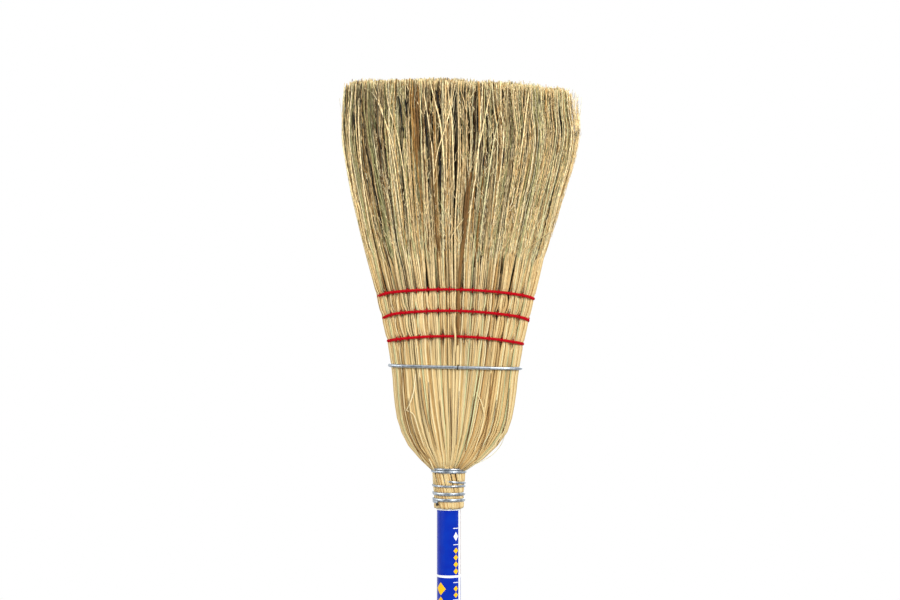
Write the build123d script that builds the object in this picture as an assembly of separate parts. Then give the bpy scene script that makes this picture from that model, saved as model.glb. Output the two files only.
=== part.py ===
from build123d import *
from math import cos, dist, pi, sin, sqrt
import os

# Straw broom, shown head up. All sizes are in millimetres.
# The origin is the centre of the flat on the pole's lower end. +Z runs up the pole to the straw tips,
# +X runs across the fan, and the front of the fan faces -Y.

# Pole, turned wood: rounded at its lower end, a little slimmer from the film up, pointed inside the head
pole_diameter = 28.6
pole_top_diameter = 28.0
pole_length = 1067.0
pole_taper_length = 36.0
pole_end_round = 5.0
pole_seat = 157.0
pole_point_length = 48.0
pole_point_diameter = 22.0

# Printed film shrunk on the pole below the head
film_length = 230.0
film_thickness = 0.25
film_gap = 0.05

# Neck, the stalk ends wired to the pole: a core layer, an inner wire and an outer ring
neck_length = 50.0
neck_lip_diameter = 33.6
neck_lip_round = 0.4
neck_top_diameter = 35.8
core_stalk_thickness = 0.8
pole_fit = 0.05
layer_gap = 0.05

# Inner wire, a coil on the core stalks with one end bent into the pole
inner_wire = 0.9
inner_turns = 6
inner_coil_rise = 33.0
inner_coil_foot = 9.0
inner_leg_depth = 6.0
inner_bend_turn_share = 0.06

# Outer wire on the neck. Its table gives turns from the back, and heights as shares of the neck.
binding_wire = 2.4
wire_seat_gap = 0.1
binding_turn_shares = (
    (0.17, 0.97),
    (0.5, 0.934),
    (1.0, 0.93),
    (1.5, 0.876),
    (2.0, 0.868),
    (2.5, 0.7),
    (3.0, 0.61),
    (3.5, 0.522),
    (4.0, 0.512),
    (4.5, 0.336),
    (5.0, 0.322),
    (5.5, 0.186),
    (6.0, 0.172),
    (6.5, 0.132),
    (6.625, 0.128),
)

# Nails that hold the ends of the outer wire
nail_shank = 1.4
nail_head = 3.4
nail_head_thickness = 1.0
nail_length = 15.0
nail_gap = 0.1
lower_nail_drop = 2.4
upper_nail_turn_share = 0.035

# Packed straw from the neck to the root of the free bristles
packed_height = 220.0
backing_height = 5.0
sewn_width = 195.0
shoulder_depth = 58.0
fan_lean = 12.8
cover_split_at_neck = 31.0
core_width_at_neck = 31.4

# Height, width, depth, lean and side fullness of the packed straw: shares of its height, of its growth
# from the neck to the sewn width, of its growth to the shoulder depth, of the lean and of the depth
packed_shares = (
    (0.0, 0.0, 0.0, 0.0, 0.414),
    (0.023, 0.19, 0.40, 0.15, 0.48),
    (0.059, 0.32, 0.71, 0.33, 0.56),
    (0.123, 0.475, 0.93, 0.41, 0.66),
    (0.214, 0.602, 1.0, 0.43, 0.70),
    (0.373, 0.685, 0.73, 0.48, 0.70),
    (0.541, 0.733, 0.46, 0.56, 0.70),
    (0.759, 0.85, 0.27, 0.60, 0.70),
    (1.0, 1.0, 0.23, 0.64, 0.70),
)

# Free bristles
bristle_length = 242.0
fan_width = 280.0
fan_depth = 62.0
strand_columns = 24
strand_rows = 5
core_columns = 11
core_rows = 3
column_step_share = 0.0405
row_step_share = 0.178
strand_fill_share = 0.44
strand_inset = 0.5
tip_scatter = 5.0
scatter_steps = (12.9, 78.2)
corner_sharpness = 6
left_corner_drop = 8.0
right_corner_drop = 26.0

# Height, width, depth, lean and thickness of the strands: shares of their height, of the growth from the
# sewn edge to the fan's width and depth, of the lean and of the full thickness
fan_shares = (
    (0.0, 0.0, 0.0, 0.64, 1.0),
    (0.3, 0.5, 0.45, 0.76, 0.98),
    (0.56, 0.87, 0.78, 0.97, 0.94),
    (0.78, 1.0, 0.95, 1.0, 0.86),
    (1.0, 0.8, 1.0, 0.75, 0.7),
)

# Hoop wire round the shoulders, with a staple front and back
hoop_wire = 4.0
hoop_height = 118.7
hoop_tilt = 1.35
hoop_lap_gap = 0.5
staple_wire = 1.2
staple_leg = 12.0
staple_gap = 0.12

# Red twine laid round the head in rows, and the thread that locks it
twine = 3.7
thread = 1.8
row_heights = (154.0, 184.1, 209.4)
row_bow = 7.5
row_tilt = 2.0
twine_lap_gap = 0.5
lap_share = 0.45
twine_seat_gap = 0.3
stitches_per_row = (12, 12, 13)
stitch_span_share = 0.79
stitch_gap = 0.3
lock_bend_share = 0.98
thread_hole_gap = 0.15

# One overrun for every cut
overrun = 2.0

# Step for a curve's direction, and the least step of a search along a curve
nudge_share = 0.05
search_share = 0.0001

pole_radius = pole_diameter / 2
pole_top_radius = pole_top_diameter / 2
lip_z = pole_length - pole_seat
film_foot_z = lip_z - film_gap - film_length
neck_top_z = lip_z + neck_length
packed_top_z = neck_top_z + packed_height
backing_z = packed_top_z - backing_height
tip_z = packed_top_z + bristle_length

UP = Vector(0, 0, 1)
RIGHT = Vector(1, 0, 0)
BACK = Vector(0, 1, 0)


def mix(low, high, share):
    """Value a share of the way from low to high."""
    return low + (high - low) * share


def read_table(table, key):
    """Rest of a table's row at a key, on straight lines between its rows."""
    for lower, upper in zip(table, table[1:]):
        if key <= upper[0]:
            break
    share = (key - lower[0]) / (upper[0] - lower[0])
    return [mix(low, high, share) for low, high in zip(lower[1:], upper[1:])]


def slope(table, index, column):
    """Rise of a table's column for its key, taken across the rows beside an index."""
    lower = table[max(index - 1, 0)]
    upper = table[min(index + 1, len(table) - 1)]
    return (upper[column] - lower[column]) / (upper[0] - lower[0])


def read_curve(table, key):
    """Rest of a table's row at a key, on a smooth curve through its rows."""
    index = 0
    while index < len(table) - 2 and key > table[index + 1][0]:
        index += 1
    lower = table[index]
    upper = table[index + 1]
    step = upper[0] - lower[0]
    share = (key - lower[0]) / step
    values = []
    for column in range(1, len(lower)):
        start_pull = step * slope(table, index, column) * share * (1 - share) ** 2
        end_pull = step * slope(table, index + 1, column) * (share - 1) * share**2
        blend = share**2 * (3 - 2 * share)
        values.append(mix(lower[column], upper[column], blend) + start_pull + end_pull)
    return values


def junction(start, start_way, end, end_way, end_reach):
    """Where two arcs meet between a start and an end, and their direction there."""
    gap = end - start
    spread = 1 - start_way.dot(end_way)
    if end_reach is None:
        along = gap.dot(start_way + end_way)
        start_reach = (sqrt(along**2 + 2 * spread * gap.dot(gap)) - along) / (2 * spread)
        end_reach = start_reach
    else:
        facing = gap.dot(start_way) + end_reach * spread
        start_reach = (gap.dot(gap) - 2 * end_reach * gap.dot(end_way)) / (2 * facing)
    start_corner = start + start_way * start_reach
    end_corner = end - end_way * end_reach
    way = (end_corner - start_corner).normalized()
    return start_corner + way * start_reach, way


def bend(start, start_way, end, end_way, end_reach=None, start_reach=None):
    """Two tangent arcs from a start to an end."""
    if start_reach is None:
        meet, way = junction(start, start_way, end, end_way, end_reach)
    else:
        meet, way = junction(end, -end_way, start, -start_way, start_reach)
        way = -way
    return [TangentArc(start, meet, tangent=start_way), TangentArc(meet, end, tangent=way)]


def tube(edges, diameter):
    """One unbroken round wire along a chain of edges."""
    path = Wire(edges)
    section = Plane(origin=path @ 0, z_dir=path % 0) * Circle(diameter / 2)
    return sweep(section, path=path).solid()


def with_straight_ends(edges, diameter):
    """A chain of edges that runs on straight for one diameter at each end."""
    first = edges[0]
    last = edges[-1]
    lead = Line((first @ 0) - (first % 0) * diameter, first @ 0)
    tail = Line(last @ 1, (last @ 1) + (last % 1) * diameter)
    return [lead] + edges + [tail]


def report_wire(name, edges, diameter):
    """Print the tightest bend of a wire and the least gap between its turns."""
    radii = [edge.radius for edge in edges if edge.geom_type == GeomType.CIRCLE]
    places = []
    travel = 0
    for edge in edges:
        for share in (0, 0.25, 0.5, 0.75):
            places.append((travel + edge.length * share, tuple(edge @ share)))
        travel += edge.length
    apart = 5 * diameter
    gap = travel
    for index, (here, point) in enumerate(places):
        for there, other in places[index + 1:]:
            if there - here > apart:
                gap = min(gap, dist(point, other) - diameter)
    print(f"{name}: least radius {min(radii):.2f}, least gap to itself {gap:.2f}, length {travel:.0f}")


def packed_section(z):
    """Half width, half depth, centre and side reach of the packed straw at a height."""
    width, depth, lean, side = read_curve(packed_shares, (z - neck_top_z) / packed_height)
    half_width = mix(neck_top_diameter / 2, sewn_width / 2, width)
    half_depth = mix(neck_top_diameter / 2, shoulder_depth / 2, depth)
    return half_width, half_depth, fan_lean * lean, half_depth * side


def oval(z):
    """Outline of the packed straw at a height, eight tangent arcs."""
    half_width, half_depth, centre, reach = packed_section(z)
    front = Vector(centre, -half_depth, z)
    right = Vector(centre + half_width, 0, z)
    back = Vector(centre, half_depth, z)
    left = Vector(centre - half_width, 0, z)
    edges = bend(front, RIGHT, right, BACK, end_reach=reach)
    edges += bend(right, BACK, back, -RIGHT, start_reach=reach)
    edges += bend(back, -RIGHT, left, -BACK, end_reach=reach)
    edges += bend(left, -BACK, front, RIGHT, start_reach=reach)
    return Wire(edges)


def make_packed_straw():
    """The whole packed straw, a ruled loft through the table's heights and one between each two."""
    shares = [row[0] for row in packed_shares]
    between = [mix(low, high, 0.5) for low, high in zip(shares, shares[1:])]
    heights = [neck_top_z + packed_height * share for share in sorted(shares + between)]
    return Solid.make_loft([oval(height) for height in heights], ruled=True)


def side_limit(y):
    """Half width of the packed straw's top at a place in its depth."""
    half_width, half_depth, centre, reach = packed_section(packed_top_z)
    corner = Vector(0, -half_depth)
    meet, way = junction(corner, RIGHT, Vector(half_width, 0), BACK, reach)
    side_radius = ((half_width - meet.X) ** 2 + meet.Y**2) / (2 * (half_width - meet.X))
    face_radius = (meet.X**2 + (meet.Y + half_depth) ** 2) / (2 * (meet.Y + half_depth))
    if abs(y) < abs(meet.Y):
        return half_width - side_radius + sqrt(side_radius**2 - y**2)
    return sqrt(max(0, face_radius**2 - (face_radius - half_depth + abs(y)) ** 2))


def neck_radius(z):
    """Outer radius of the neck's stalk ring at a height."""
    return mix(neck_lip_diameter / 2, neck_top_diameter / 2, (z - lip_z) / neck_length)


def rod(start, end, diameter):
    """Straight round bar between two points."""
    way = end - start
    plane = Plane(origin=start, z_dir=way)
    return Solid.make_cylinder(diameter / 2, way.length, plane)


def make_pole_blank():
    """The pole: a straight grip, a slight taper, a straight top and a blunt point inside the head."""
    taper_z = film_foot_z - pole_taper_length
    point_z = pole_length - pole_point_length
    taper_foot = Plane(origin=(0, 0, taper_z))
    top_foot = Plane(origin=(0, 0, film_foot_z))
    point_foot = Plane(origin=(0, 0, point_z))
    grip = Solid.make_cylinder(pole_radius, taper_z)
    taper = Solid.make_cone(pole_radius, pole_top_radius, pole_taper_length, taper_foot)
    top = Solid.make_cylinder(pole_top_radius, point_z - film_foot_z, top_foot)
    point = Solid.make_cone(pole_top_radius, pole_point_diameter / 2, pole_point_length, point_foot)
    blank = grip.fuse(taper, top, point).solid()
    low_edge = blank.edges().filter_by(GeomType.CIRCLE).sort_by(Axis.Z)[0]
    return blank.fillet(pole_end_round, [low_edge])


def make_film():
    """The printed film, a thin tube whose top meets the straw lip."""
    inner = pole_top_radius + film_gap
    foot = Plane(origin=(0, 0, film_foot_z))
    outer_tube = Solid.make_cylinder(inner + film_thickness, film_length, foot)
    return outer_tube.cut(Solid.make_cylinder(inner, film_length, foot)).solid()


def core_tube_radius():
    """Outer radius of the core stalks in the neck."""
    return pole_top_radius + pole_fit + core_stalk_thickness


def make_neck_ring():
    """The outer stalk ends, a ring that widens upwards, with a rounded lip."""
    bore = core_tube_radius() + 2 * layer_gap + inner_wire
    foot = Plane(origin=(0, 0, lip_z))
    cone = Solid.make_cone(neck_lip_diameter / 2, neck_top_diameter / 2, neck_length, foot)
    low_edge = cone.edges().filter_by(GeomType.CIRCLE).sort_by(Axis.Z)[0]
    cone = cone.fillet(neck_lip_round, [low_edge])
    return cone.cut(Solid.make_cylinder(bore, neck_length, foot)).solid()


def make_core_tube():
    """The core stalks that line the neck, from the lip to the packed straw."""
    foot = Plane(origin=(0, 0, lip_z))
    return Solid.make_cylinder(core_tube_radius(), neck_length + layer_gap, foot)


def winding(point_at, first, last, quarters):
    """Arcs of a wire that follows a turning point, a quarter turn or less at a time."""
    step = (last - first) / quarters
    nudge = step * nudge_share
    turns = [first + step * index for index in range(quarters + 1)]
    points = [point_at(turn) for turn in turns]
    ways = [(point_at(turn + nudge) - point_at(turn - nudge)).normalized() for turn in turns]
    edges = []
    for index in range(quarters):
        edges += bend(points[index], ways[index], points[index + 1], ways[index + 1])
    return edges


def inner_coil_edges():
    """The inner wire: a leg out of the pole, a bend, and a coil on the core stalks."""
    radius = core_tube_radius() + layer_gap + inner_wire / 2
    foot_z = lip_z + inner_coil_foot

    def point_at(turn):
        angle = 2 * pi * turn
        return Vector(radius * cos(angle), radius * sin(angle), foot_z + inner_coil_rise * turn / inner_turns)

    coil = winding(point_at, inner_bend_turn_share, inner_turns, 4 * inner_turns)
    start = Vector(pole_top_radius - inner_leg_depth, 0, foot_z)
    bend_start = Vector(pole_top_radius - inner_wire, 0, foot_z)
    entry = bend(bend_start, RIGHT, coil[0] @ 0, coil[0] % 0)
    return with_straight_ends([Line(start, bend_start)] + entry + coil, inner_wire)[1:]


def binding_edges():
    """The outer wire: two close turns at the top of the neck, then open turns down to its nail."""

    def point_at(turn):
        height = read_table(binding_turn_shares, turn)[0]
        z = lip_z + neck_length * height
        radius = neck_radius(z + binding_wire / 2) + wire_seat_gap + binding_wire / 2
        angle = 2 * pi * turn
        return Vector(radius * cos(angle), radius * sin(angle), z)

    first = binding_turn_shares[0][0]
    last = binding_turn_shares[-1][0]
    return winding(point_at, first, last, round(4 * (last - first)))


def nail_places():
    """Angle in turns and height of each nail, next to the two ends of the outer wire."""
    top_turn, top_height = binding_turn_shares[0]
    low_turn, low_height = binding_turn_shares[-1]
    upper = (top_turn - upper_nail_turn_share, lip_z + neck_length * top_height)
    lower = (low_turn, lip_z + neck_length * low_height - lower_nail_drop)
    return [lower, upper]


def nail_axis(turn, z):
    """Seat of a nail's head and the direction out of the pole."""
    outward = Vector(cos(2 * pi * turn), sin(2 * pi * turn), 0)
    seat = neck_radius(z + nail_head / 2) + wire_seat_gap + binding_wire + nail_gap
    return outward * seat + UP * z, outward


def make_nail(turn, z):
    """One round-headed nail driven square into the neck."""
    seat, outward = nail_axis(turn, z)
    shank = rod(seat - outward * nail_length, seat, nail_shank)
    head = rod(seat, seat + outward * nail_head_thickness, nail_head)
    head = head.fillet(nail_head_thickness / 3, [head.edges().filter_by(GeomType.CIRCLE).sort_by(
        lambda edge: (edge.center() - seat).length)[-1]])
    return shank.fuse(head).solid()


def nail_hole(turn, z):
    """Clearance hole for a nail's shank."""
    seat, outward = nail_axis(turn, z)
    inner_end = seat - outward * (nail_length + nail_gap)
    return rod(inner_end, seat + outward * overrun, nail_shank + 2 * nail_gap)


def head_loop(height, bow, tilt, wire, seat_gap, lap_gap):
    """Arcs of a wire laid once round the packed straw, its end over its start at the right of the back."""
    mid_z = neck_top_z + height
    right_z = mid_z - bow - tilt
    left_z = mid_z - bow + tilt
    lap_z = right_z + wire + lap_gap
    stand = seat_gap + wire / 2
    low_depth = packed_section(min(right_z, left_z) - wire / 2)[1]
    half_depth = max(low_depth, packed_section(mid_z + wire / 2)[1]) + stand
    middle = packed_section(mid_z)[2]
    right_width, _, right_centre, right_reach = packed_section(right_z + wire / 2)
    left_width, _, left_centre, left_reach = packed_section(left_z + wire / 2)
    lap_width, _, lap_centre, lap_reach = packed_section(lap_z + wire / 2)
    right = Vector(right_centre + right_width + stand, 0, right_z)
    front = Vector(middle, -half_depth, mid_z)
    left = Vector(left_centre - left_width - stand, 0, left_z)
    back = Vector(middle, half_depth, mid_z)
    lap = Vector(lap_centre + lap_width + stand, 0, lap_z)
    lead_back = Vector(middle, half_depth, mid_z - wire - lap_gap)
    lead = bend(lead_back, RIGHT, right, -BACK, end_reach=right_reach + stand)[1]
    edges = [lead.trim(1 - lap_share, 1)]
    edges += bend(right, -BACK, front, -RIGHT, start_reach=right_reach + stand)
    edges += bend(front, -RIGHT, left, BACK, end_reach=left_reach + stand)
    edges += bend(left, BACK, back, RIGHT, start_reach=left_reach + stand)
    return edges + bend(back, RIGHT, lap, -BACK, end_reach=lap_reach + stand)


def front_arcs(loop):
    """Arcs of a loop that run over the front."""
    return loop[1:5]


def back_arcs(loop):
    """Arcs of a loop that run over the back."""
    return loop[5:9]


def loop_point(arcs, x):
    """Point of a loop at a place across the fan, and the direction square off it, away from the straw."""
    for arc in arcs:
        if min((arc @ 0).X, (arc @ 1).X) <= x <= max((arc @ 0).X, (arc @ 1).X):
            break
    rising = (arc @ 1).X > (arc @ 0).X
    low = 0
    high = 1
    while high - low > search_share:
        middle = (low + high) / 2
        if ((arc @ middle).X < x) == rising:
            low = middle
        else:
            high = middle
    way = arc % low
    return arc @ low, Vector(-way.Y, way.X, 0).normalized()


def crossing(arcs, x, wire, lock, gap):
    """Lower and upper corner of a thread that crosses over a loop at a place across the fan."""
    point, outward = loop_point(arcs, x)
    stand = (wire + lock) / 2 + gap
    seat = point + outward * stand
    return seat - UP * stand, seat + UP * stand


def stitch_points(loop, row):
    """Corners of a row's thread: over the twine in front, through the head, over it behind, and back."""
    half_width, _, centre, _ = packed_section(neck_top_z + row_heights[row] - row_bow)
    count = stitches_per_row[row]
    pitch = 2 * half_width * stitch_span_share / (count - 1)
    first_x = centre - half_width * stitch_span_share
    points = []
    for index in range(count):
        x = first_x + pitch * index
        points += crossing(front_arcs(loop), x, twine, thread, stitch_gap)
        if index < count - 1:
            low, high = crossing(back_arcs(loop), x + pitch / 2, twine, thread, stitch_gap)
            points += [high, low]
    start = Vector(first_x - pitch / 4, 0, points[0].Z)
    end = Vector(first_x + pitch * (count - 1) + pitch / 4, 0, points[-1].Z)
    return [start] + points + [end]


def lock_radius(wire, lock, gap):
    """Bend of a thread that goes over a loop, a little under half its height."""
    return ((wire + lock) / 2 + gap) * lock_bend_share


def thread_holes(points):
    """Clearance holes for the parts of a thread that run through the head."""
    holes = []
    for index in range(0, len(points) - 1, 2):
        start = points[index]
        end = points[index + 1]
        if index == 0:
            start = start - (end - start).normalized() * thread_hole_gap
        if index == len(points) - 2:
            end = end + (end - start).normalized() * thread_hole_gap
        holes.append(rod(start, end, thread + 2 * thread_hole_gap))
    return holes


def staple_points(arcs, x):
    """Corners of a staple over the hoop: a leg, the crown and the other leg."""
    low, high = crossing(arcs, x, hoop_wire, staple_wire, staple_gap)
    inward = -loop_point(arcs, x)[1] * (staple_leg + hoop_wire)
    return [low + inward, low, high, high + inward]


def staple_holes(points):
    """Clearance holes for a staple's two legs."""
    holes = []
    for inner_end, corner in ((points[0], points[1]), (points[3], points[2])):
        inner_end = inner_end + (inner_end - corner).normalized() * staple_gap
        holes.append(rod(inner_end, corner, staple_wire + 2 * staple_gap))
    return holes


def split_top(rows_or_columns, step_share, half_size):
    """Half size, at the top of the packed straw, of the split that lies between two strands."""
    return (rows_or_columns + 0.5) * step_share * half_size


def slab(across, low, high, reach, z_low, z_high):
    """A region between two slanting planes. Low and high are its two places at each height."""
    corners = [
        across * low[0] + UP * z_low,
        across * low[1] + UP * z_low,
        across * high[1] + UP * z_high,
        across * high[0] + UP * z_high,
    ]
    face = Face(Wire.make_polygon(corners, close=True))
    along = UP.cross(across)
    return Solid.extrude(face.moved(Pos(-along * reach)), along * (2 * reach))


def split_regions():
    """Regions that cut the packed straw into its bundles, by name."""
    far = sewn_width
    half_width, half_depth, centre, _ = packed_section(packed_top_z)
    neck_y = cover_split_at_neck / 2
    neck_x = core_width_at_neck / 2
    top_y = split_top(core_rows, row_step_share, half_depth)
    top_x = split_top(core_columns, column_step_share, half_width)
    low_z = neck_top_z
    high_z = packed_top_z
    front = slab(BACK, (-far, -neck_y), (-far, -top_y), far, low_z, high_z)
    back = slab(BACK, (neck_y, far), (top_y, far), far, low_z, high_z)
    middle = slab(BACK, (-neck_y, neck_y), (-top_y, top_y), far, low_z, high_z)
    left = slab(RIGHT, (-far, -neck_x), (-far, centre - top_x), far, low_z, high_z)
    right = slab(RIGHT, (neck_x, far), (centre + top_x, far), far, low_z, high_z)
    core = slab(RIGHT, (-neck_x, neck_x), (centre - top_x, centre + top_x), far, low_z, high_z)
    return {
        "front": [front],
        "back": [back],
        "left": [middle, left],
        "right": [middle, right],
        "core": [middle, core],
    }


def cut_to(solid, regions):
    """Part of a solid that lies in every region."""
    for region in regions:
        solid = (solid & region).solid()
    return solid


def tip_height(across):
    """Height of the trimmed tips, lower at the two corners of the fan."""
    drop = right_corner_drop if across > 0 else left_corner_drop
    return tip_z - drop * abs(across) ** corner_sharpness


def faceted_bar(rings):
    """A solid with four flat sides between each two rings of corners, and flat ends."""
    faces = [Face(Wire.make_polygon(rings[0], close=True)), Face(Wire.make_polygon(rings[-1], close=True))]
    for lower, upper in zip(rings, rings[1:]):
        for index in range(4):
            after = (index + 1) % 4
            corners = [lower[index], lower[after], upper[after], upper[index]]
            faces.append(Face(Wire.make_polygon(corners, close=True)))
    return Solid(Shell(faces))


def make_strand(column, row):
    """One free straw: a four-sided taper that follows the fan outwards."""
    across = column * column_step_share
    deep = row * row_step_share
    scatter = 0.5 + 0.5 * sin(scatter_steps[0] * column + scatter_steps[1] * row)
    end_z = tip_height(across) - tip_scatter * scatter
    rings = []
    for height, width, depth, lean, thickness in fan_shares:
        half_width = mix(sewn_width / 2, fan_width / 2, width)
        half_depth = mix(packed_section(packed_top_z)[1], fan_depth / 2, depth)
        x = fan_lean * lean + half_width * across
        y = half_depth * deep
        z = mix(packed_top_z, end_z, height)
        pitch = min(half_width * column_step_share, half_depth * row_step_share)
        side = strand_fill_share * thickness * pitch
        signs = ((-1, -1), (1, -1), (1, 1), (-1, 1))
        rings.append([Vector(x + side * right, y + side * back, z) for right, back in signs])
    return faceted_bar(rings)


def strand_grid():
    """Columns and rows of the strands that stand on the packed straw, by bundle."""
    grid = {"front": [], "back": [], "left": [], "right": [], "core": []}
    half_width, half_depth, _, _ = packed_section(packed_top_z)
    for row in range(-strand_rows, strand_rows + 1):
        side = strand_fill_share * min(half_width * column_step_share, half_depth * row_step_share)
        limit = side_limit(abs(row) * row_step_share * half_depth + side) - side - strand_inset
        for column in range(-strand_columns, strand_columns + 1):
            if abs(column) * column_step_share * half_width > limit:
                continue
            if abs(row) > core_rows:
                name = "front" if row < 0 else "back"
            elif abs(column) > core_columns:
                name = "left" if column < 0 else "right"
            else:
                name = "core"
            grid[name].append((column, row))
    return grid


def make_bristles(backing, places):
    """One bundle's free straws, fused to the slice of packed straw that they stand on."""
    strands = [make_strand(column, row) for column, row in places]
    return backing.fuse(*strands, glue=True).solid()


def save(node, shape):
    """Write one sub-part."""
    export_step(shape, f"parts/{node}.step")


def main():
    os.makedirs("parts", exist_ok=True)

    nails = [make_nail(turn, z) for turn, z in nail_places()]
    nail_holes = [nail_hole(turn, z) for turn, z in nail_places()]

    coil = inner_coil_edges()
    coil_hole = tube(coil[:3], inner_wire + 2 * layer_gap)
    report_wire("inner binding wire", coil, inner_wire)
    save("inner_binding_wire", tube(coil, inner_wire))

    binding = with_straight_ends(binding_edges(), binding_wire)
    report_wire("binding wire", binding, binding_wire)
    save("binding_wire", tube(binding, binding_wire))
    save("binding_nails", Compound(nails))

    save("handle", make_pole_blank().cut(*nail_holes, coil_hole).solid())
    save("label_sleeve", make_film())
    save("neck_stalk_ends", make_neck_ring().cut(*nail_holes).solid())

    holes = []
    hoop = head_loop(hoop_height, 0, hoop_tilt, hoop_wire, twine_seat_gap, hoop_lap_gap)
    report_wire("hoop wire", hoop, hoop_wire)
    save("hoop_wire", tube(with_straight_ends(hoop, hoop_wire), hoop_wire))
    staples = []
    staple_x = packed_section(neck_top_z + hoop_height)[2]
    for arcs in (front_arcs(hoop), back_arcs(hoop)):
        points = staple_points(arcs, staple_x)
        radius = lock_radius(hoop_wire, staple_wire, staple_gap)
        staples.append(tube(FilletPolyline(*points, radius=radius).edges(), staple_wire))
        holes += staple_holes(points)
    save("hoop_staples", Compound(staples))

    for row in range(len(row_heights)):
        loop = head_loop(row_heights[row], row_bow, row_tilt, twine, twine_seat_gap, twine_lap_gap)
        report_wire(f"stitch wrap {row + 1}", loop, twine)
        save(f"stitch_wrap_{row + 1}", tube(with_straight_ends(loop, twine), twine))
        points = stitch_points(loop, row)
        radius = lock_radius(twine, thread, stitch_gap)
        path = FilletPolyline(*points, radius=radius).edges()
        report_wire(f"stitch thread {row + 1}", path, thread)
        save(f"stitch_thread_{row + 1}", tube(path, thread))
        holes += thread_holes(points)

    packed = make_packed_straw()
    far = sewn_width
    below = slab(RIGHT, (-far, far), (-far, far), far, neck_top_z, backing_z)
    above = slab(RIGHT, (-far, far), (-far, far), far, backing_z, packed_top_z)
    backing = cut_to(packed, [above])
    bore_radius = pole_top_radius + pole_fit
    bore = Solid.make_cylinder(bore_radius, pole_seat + pole_fit, Plane(origin=(0, 0, lip_z)))
    body = cut_to(packed, [below]).cut(*holes, bore).solid()

    nodes = {
        "front": "front_hurl_cover",
        "back": "back_hurl_cover",
        "left": "left_shoulder_bundle",
        "right": "right_shoulder_bundle",
        "core": "core_bundle",
    }
    regions = split_regions()
    grid = strand_grid()
    for name, node in nodes.items():
        bundle = cut_to(body, regions[name])
        if name == "core":
            bundle = bundle.fuse(make_core_tube().cut(*nail_holes, coil_hole, bore)).solid()
        save(node, bundle)
        bristle_node = node.rsplit("_", 1)[0] + "_bristles"
        save(bristle_node, make_bristles(cut_to(backing, regions[name]), grid[name]))
    print("strands", sum(len(places) for places in grid.values()))


main()
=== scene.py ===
from functools import partial
from math import pi, radians

import bpy
import numpy as np
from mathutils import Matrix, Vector


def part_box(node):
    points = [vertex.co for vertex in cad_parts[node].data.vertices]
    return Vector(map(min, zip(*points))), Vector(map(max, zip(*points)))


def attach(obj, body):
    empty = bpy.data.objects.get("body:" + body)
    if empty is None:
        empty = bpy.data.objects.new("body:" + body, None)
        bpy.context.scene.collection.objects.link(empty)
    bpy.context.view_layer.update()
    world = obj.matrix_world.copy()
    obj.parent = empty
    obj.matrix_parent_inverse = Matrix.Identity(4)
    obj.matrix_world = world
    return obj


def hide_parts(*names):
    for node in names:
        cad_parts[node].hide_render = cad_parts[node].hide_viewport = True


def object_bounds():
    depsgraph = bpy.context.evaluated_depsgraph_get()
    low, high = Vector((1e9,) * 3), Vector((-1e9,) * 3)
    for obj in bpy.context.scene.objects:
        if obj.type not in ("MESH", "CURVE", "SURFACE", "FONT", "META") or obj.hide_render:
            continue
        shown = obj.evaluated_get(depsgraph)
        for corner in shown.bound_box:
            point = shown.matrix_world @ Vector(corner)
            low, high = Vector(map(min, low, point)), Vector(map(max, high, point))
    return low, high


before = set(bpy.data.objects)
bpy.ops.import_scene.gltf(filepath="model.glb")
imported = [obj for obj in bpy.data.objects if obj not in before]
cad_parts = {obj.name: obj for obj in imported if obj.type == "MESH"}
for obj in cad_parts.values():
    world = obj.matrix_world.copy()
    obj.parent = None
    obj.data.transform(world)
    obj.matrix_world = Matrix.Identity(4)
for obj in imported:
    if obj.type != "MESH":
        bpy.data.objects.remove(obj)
cad_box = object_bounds()

# Sizes are in metres. mm turns a millimetre size into them.
mm = 0.001

# Setting of a map range that starts and ends softly
SMOOTH = {"interpolation_type": "SMOOTHSTEP"}

# Photograph: its frame in pixels, and the place and view of the camera
PHOTO_WIDTH = 900
SENSOR = 36.0
CAMERA_X = 1.4 * mm
CAMERA_DISTANCE = 2300 * mm
CAMERA_HEIGHT = 1157 * mm
PIXEL = 1.195 * mm
AXIS_COLUMN = 448.8
TIP_ROW = 78.0

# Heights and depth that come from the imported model
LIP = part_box("neck_stalk_ends")[0].z
NECK_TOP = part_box("neck_stalk_ends")[1].z
NECK = NECK_TOP - LIP
TIP = cad_box[1].z
HEAD = TIP - LIP
TWINE = 3.7 * mm
ROWS = [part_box(f"stitch_wrap_{row}")[1].z - TWINE / 2 for row in (1, 2, 3)]
DEPTH_LIMIT = cad_box[1].y + 1.0 * mm

# Read from the photograph, scaled by a usual pole of 28.6 mm: the hoop's height, the pole's radius and, in
# millimetres, the radius of the stalk ends at shares of the neck's height
HOOP = LIP + 167.3 * mm
POLE_RADIUS = 14.3 * mm
NECK_SHARES = (0.0, 0.3, 0.6, 0.9, 1.0)
NECK_RADII = (17.7, 17.4, 18.7, 19.5, 18.9)

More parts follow.
